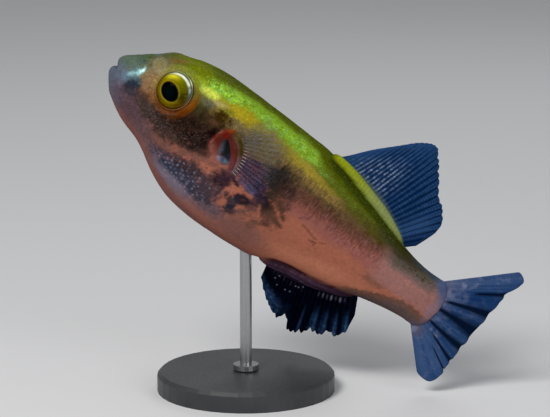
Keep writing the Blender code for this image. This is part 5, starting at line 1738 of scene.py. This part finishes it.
def area_light(name, place, size, power, tint):
    light = bpy.data.lights.new(name, "AREA")
    light.shape = "DISK"
    light.size = size
    light.energy = power
    light.color = tint
    lamp = bpy.data.objects.new(name, light)
    lamp.location = place
    lamp.rotation_euler = (LAMPS_AIM - Vector(place)).to_track_quat("-Z", "Y").to_euler()
    bpy.context.scene.collection.objects.link(lamp)


def set_stage():
    work = bmesh.new()
    bmesh.ops.create_grid(work, x_segments=1, y_segments=1, size=FLOOR_HALF_SIZE)
    mesh = bpy.data.meshes.new("floor")
    work.to_mesh(mesh)
    work.free()
    floor = bpy.data.objects.new("floor", mesh)
    bpy.context.scene.collection.objects.link(floor)
    mesh.materials.append(floor_finish())
    for lamp in LAMPS:
        area_light(*lamp)
    world = bpy.data.worlds.new("studio")
    world.use_nodes = True
    background = world.node_tree.nodes["Background"]
    background.inputs["Color"].default_value = ROOM_TINT
    background.inputs["Strength"].default_value = ROOM_LIGHT
    bpy.context.scene.world = world
    bpy.context.scene.view_settings.view_transform = "Standard"


def set_camera():
    away = Vector((math.sin(CAMERA_TURN) * math.cos(CAMERA_RISE),
                   -math.cos(CAMERA_TURN) * math.cos(CAMERA_RISE), math.sin(CAMERA_RISE)))
    camera = bpy.data.cameras.new("camera")
    camera.sensor_width = SENSOR_WIDTH
    camera.lens = SENSOR_WIDTH * CAMERA_DISTANCE / VIEW_WIDTH
    camera.clip_start = 0.01
    holder = bpy.data.objects.new("camera", camera)
    holder.location = CAMERA_AIM + away * CAMERA_DISTANCE
    holder.rotation_euler = (-away).to_track_quat("-Z", "Y").to_euler()
    bpy.context.scene.collection.objects.link(holder)
    bpy.context.scene.camera = holder


def main():
    skin = make_skin(skin_finish())
    eye = painted_finish("wet_eye", 6.0, 0.10, Roughness=0.3, Coat_Weight=0.01,
                         Coat_Roughness=0.04, Specular_IOR_Level=0.0)
    rim = painted_finish("eye_rim", 5.0, 0.12, Roughness=0.38, Coat_Weight=0.1,
                         Coat_Roughness=0.15, Specular_IOR_Level=0.03)
    flap = painted_finish("gill_flesh", 4.0, 0.15, Roughness=0.34, Coat_Weight=0.12,
                          Coat_Roughness=0.12, Specular_IOR_Level=0.05)
    fin = painted_finish("fin_web", 4.5, 0.14, Roughness=0.42, Coat_Weight=0.05,
                         Coat_Roughness=0.2, Specular_IOR_Level=0.0)
    veil = painted_finish("pectoral_web", 4.5, 0.14, sheer=True, Roughness=0.42,
                          Specular_IOR_Level=0.0)
    spine = painted_finish("spinules", 3.0, 0.10, Roughness=0.36, Coat_Weight=0.05,
                           Coat_Roughness=0.15, Specular_IOR_Level=0.0)
    for side, name in SIDES:
        make_eyeball(side, name, eye)
        make_eye_rim(side, name, rim)
        make_gill_flap(side, name, flap)
        make_pectoral_fin(side, name, veil)
    make_dorsal_fin(fin)
    make_anal_fin(fin)
    make_caudal_fin(fin)
    make_coats(skin, spine)
    for name, finish in (("stand_base", base_finish()), ("stand_rod", rod_finish())):
        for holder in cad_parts[name].material_slots:
            holder.material = finish
    set_stage()
    set_camera()


main()
